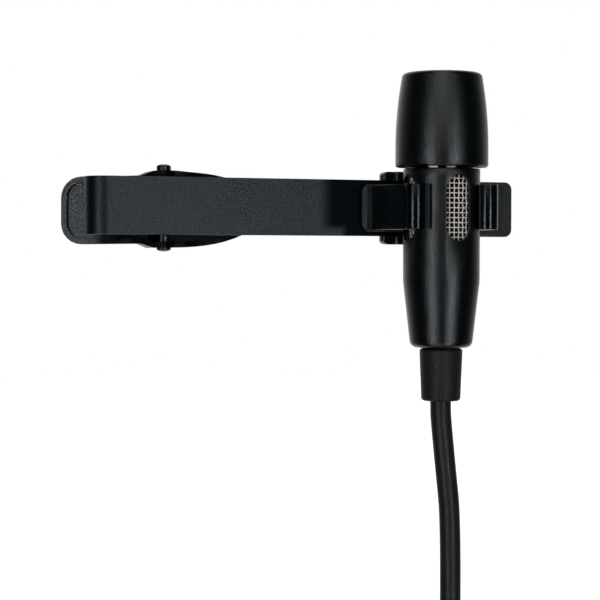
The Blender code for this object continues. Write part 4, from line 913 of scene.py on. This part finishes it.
# %% [markdown]
# ## Pressed and moulded pieces
# The clip's arm and lever are pressed from spring steel and the holder is moulded. Their solids have the
# right form with sharp edges. A pressed or moulded edge is never sharp, and the thin bright line along it
# is what the eye reads as thickness, so a copy of each is merged, its flat faces joined up and its sharp
# edges rounded.

# %% Pressed and moulded pieces
MERGE_SOLID = 0.002 * MM
FLAT_ENOUGH = math.radians(0.6)


def softened(solid, name, material, body, slot, width, sharp=28, segments=3):
    """A copy of a CAD solid with clean flat faces and rounded edges, which stands for that solid."""
    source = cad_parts[solid]
    piece = bpy.data.objects.new(name, source.data.copy())
    bpy.context.scene.collection.objects.link(piece)
    bpy.ops.object.select_all(action="DESELECT")
    bpy.context.view_layer.objects.active = piece
    piece.select_set(True)
    bpy.ops.object.mode_set(mode="EDIT")
    bpy.ops.mesh.select_all(action="SELECT")
    bpy.ops.mesh.remove_doubles(threshold=MERGE_SOLID)
    bpy.ops.mesh.dissolve_limited(angle_limit=FLAT_ENOUGH)
    bpy.ops.object.mode_set(mode="OBJECT")
    edge = piece.modifiers.new("soft edge", "BEVEL")
    edge.width = width
    edge.segments = segments
    edge.limit_method = "ANGLE"
    edge.angle_limit = math.radians(sharp)
    edge.use_clamp_overlap = True
    bpy.ops.object.modifier_apply(modifier=edge.name)
    piece.data.materials.clear()
    piece.data.materials.append(material)
    bpy.ops.object.shade_smooth_by_angle(angle=math.radians(sharp + 12))
    even = piece.modifiers.new("even shading", "WEIGHTED_NORMAL")
    even.keep_sharp = True
    bpy.ops.object.modifier_apply(modifier=even.name)
    stands_for(piece, body, slot, solid)
    print(name, "faces:", len(piece.data.polygons))
    return piece


softened("clip_arm", "arm_strip", arm_coat_painted_shade, "clip_arm", "satin_black", 0.16 * MM)
softened("clip_lever", "lever_pressing", lever_coat_painted_shade, "clip_lever", "satin_black", 0.12 * MM)
softened("mic_holder", "holder_moulding", moulded_black, "clip_arm", "holder_black", 0.3 * MM, segments=6)
softened("pivot_pin", "pin_turned", body_black, "clip_arm", "satin_black", 0.03 * MM)


# %% [markdown]
# ## Lips of the clamp
# In the photograph each finger of the holder ends in a round glossy roll that shows two thin lines of
# light. The solid has a flatter lip there. A short round bar is set into it where those two lines put its
# centre, and the holder's bore is cut out of the bar, so that the microphone still turns free.

# %% Lips of the clamp
FINGER_HEIGHT = 4.65 * MM
LIP_ACROSS = 4.06 * MM
LIP_FORWARD = 2.62 * MM
LIP_ROUND = 1.1 * MM
LIP_EDGE = 0.4 * MM
CLAMP_BORE = 4.2 * MM
BORE_SIDES = 160
LIP_SIDES = 72


def placed_bar(radius, height, place, sides):
    """A plain upright bar with its place in its mesh."""
    bpy.ops.object.select_all(action="DESELECT")
    bpy.ops.mesh.primitive_cylinder_add(vertices=sides, radius=radius, depth=height, location=place)
    bpy.ops.object.transform_apply(location=True, rotation=True, scale=True)
    return bpy.context.object


for name, side in (("lip_left", -1), ("lip_right", 1)):
    bore = placed_bar(CLAMP_BORE, 2 * FINGER_HEIGHT, mic_axis, BORE_SIDES)
    lip_centre = mic_axis + Vector((side * LIP_ACROSS, -LIP_FORWARD, 0))
    lip = placed_bar(LIP_ROUND, FINGER_HEIGHT, lip_centre, LIP_SIDES)
    lip.name = name
    cut = lip.modifiers.new("bore", "BOOLEAN")
    cut.operation = "DIFFERENCE"
    cut.object = bore
    bpy.ops.object.modifier_apply(modifier=cut.name)
    bpy.data.objects.remove(bore)
    edge = lip.modifiers.new("soft edge", "BEVEL")
    edge.width = LIP_EDGE
    edge.segments = 5
    edge.limit_method = "ANGLE"
    edge.angle_limit = SHARP_EDGE
    bpy.ops.object.modifier_apply(modifier=edge.name)
    lip.data.materials.append(lip_black)
    smoothed(lip, 40)
    stands_for(lip, "clip_arm", "holder_black")
    print(name, "faces:", len(lip.data.polygons))


# %% [markdown]
# ## Spring
# The torsion spring is one steel wire wound round the pin. Its first leg lies on the arm and its last under
# the press plate, so as the lever opens each turn of the coil goes round a little further than the one
# below it. A smooth copy of the solid takes its place.

# %% Spring
spring = bpy.data.objects.new("spring_wire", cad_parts["clip_spring"].data.copy())
bpy.context.scene.collection.objects.link(spring)
spring.data.materials.clear()
spring.data.materials.append(plain_steel)
smoothed(spring, 40)
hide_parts("clip_spring")
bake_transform(spring)
print("spring faces:", len(spring.data.polygons))


# %% [markdown]
# ## Pieces whose solids are already right
# The rivets, the plug and everything inside keep their solids and only get their finishes.

# %% Pieces whose solids are already right
LOOKS = {
    "holder_rivet_1": plain_steel,
    "holder_rivet_2": plain_steel,
    "capsule_carrier": carrier_black,
    "capsule": plain_steel,
    "capsule_gasket": rubber_black,
    "circuit_board": board_green,
    "lead_core_1": core_red,
    "lead_core_2": core_white,
    "crimp_ferrule": plain_steel,
    "cap_mesh": wire_steel,
    "cap_foam": foam_grey,
    "hank_tie": rubber_black,
    "plug_boot": rubber_black,
    "plug_collar": plain_steel,
    "plug_shell": plain_steel,
    "plug_latch": plain_steel,
    "plug_insert": insert_black,
    "plug_contact_1": gold_plate,
    "plug_contact_2": gold_plate,
    "plug_contact_3": gold_plate,
}
for name, look in LOOKS.items():
    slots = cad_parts[name].data.materials
    if len(slots):
        slots[0] = look
    else:
        slots.append(look)
print("finished", len(LOOKS), "solids")
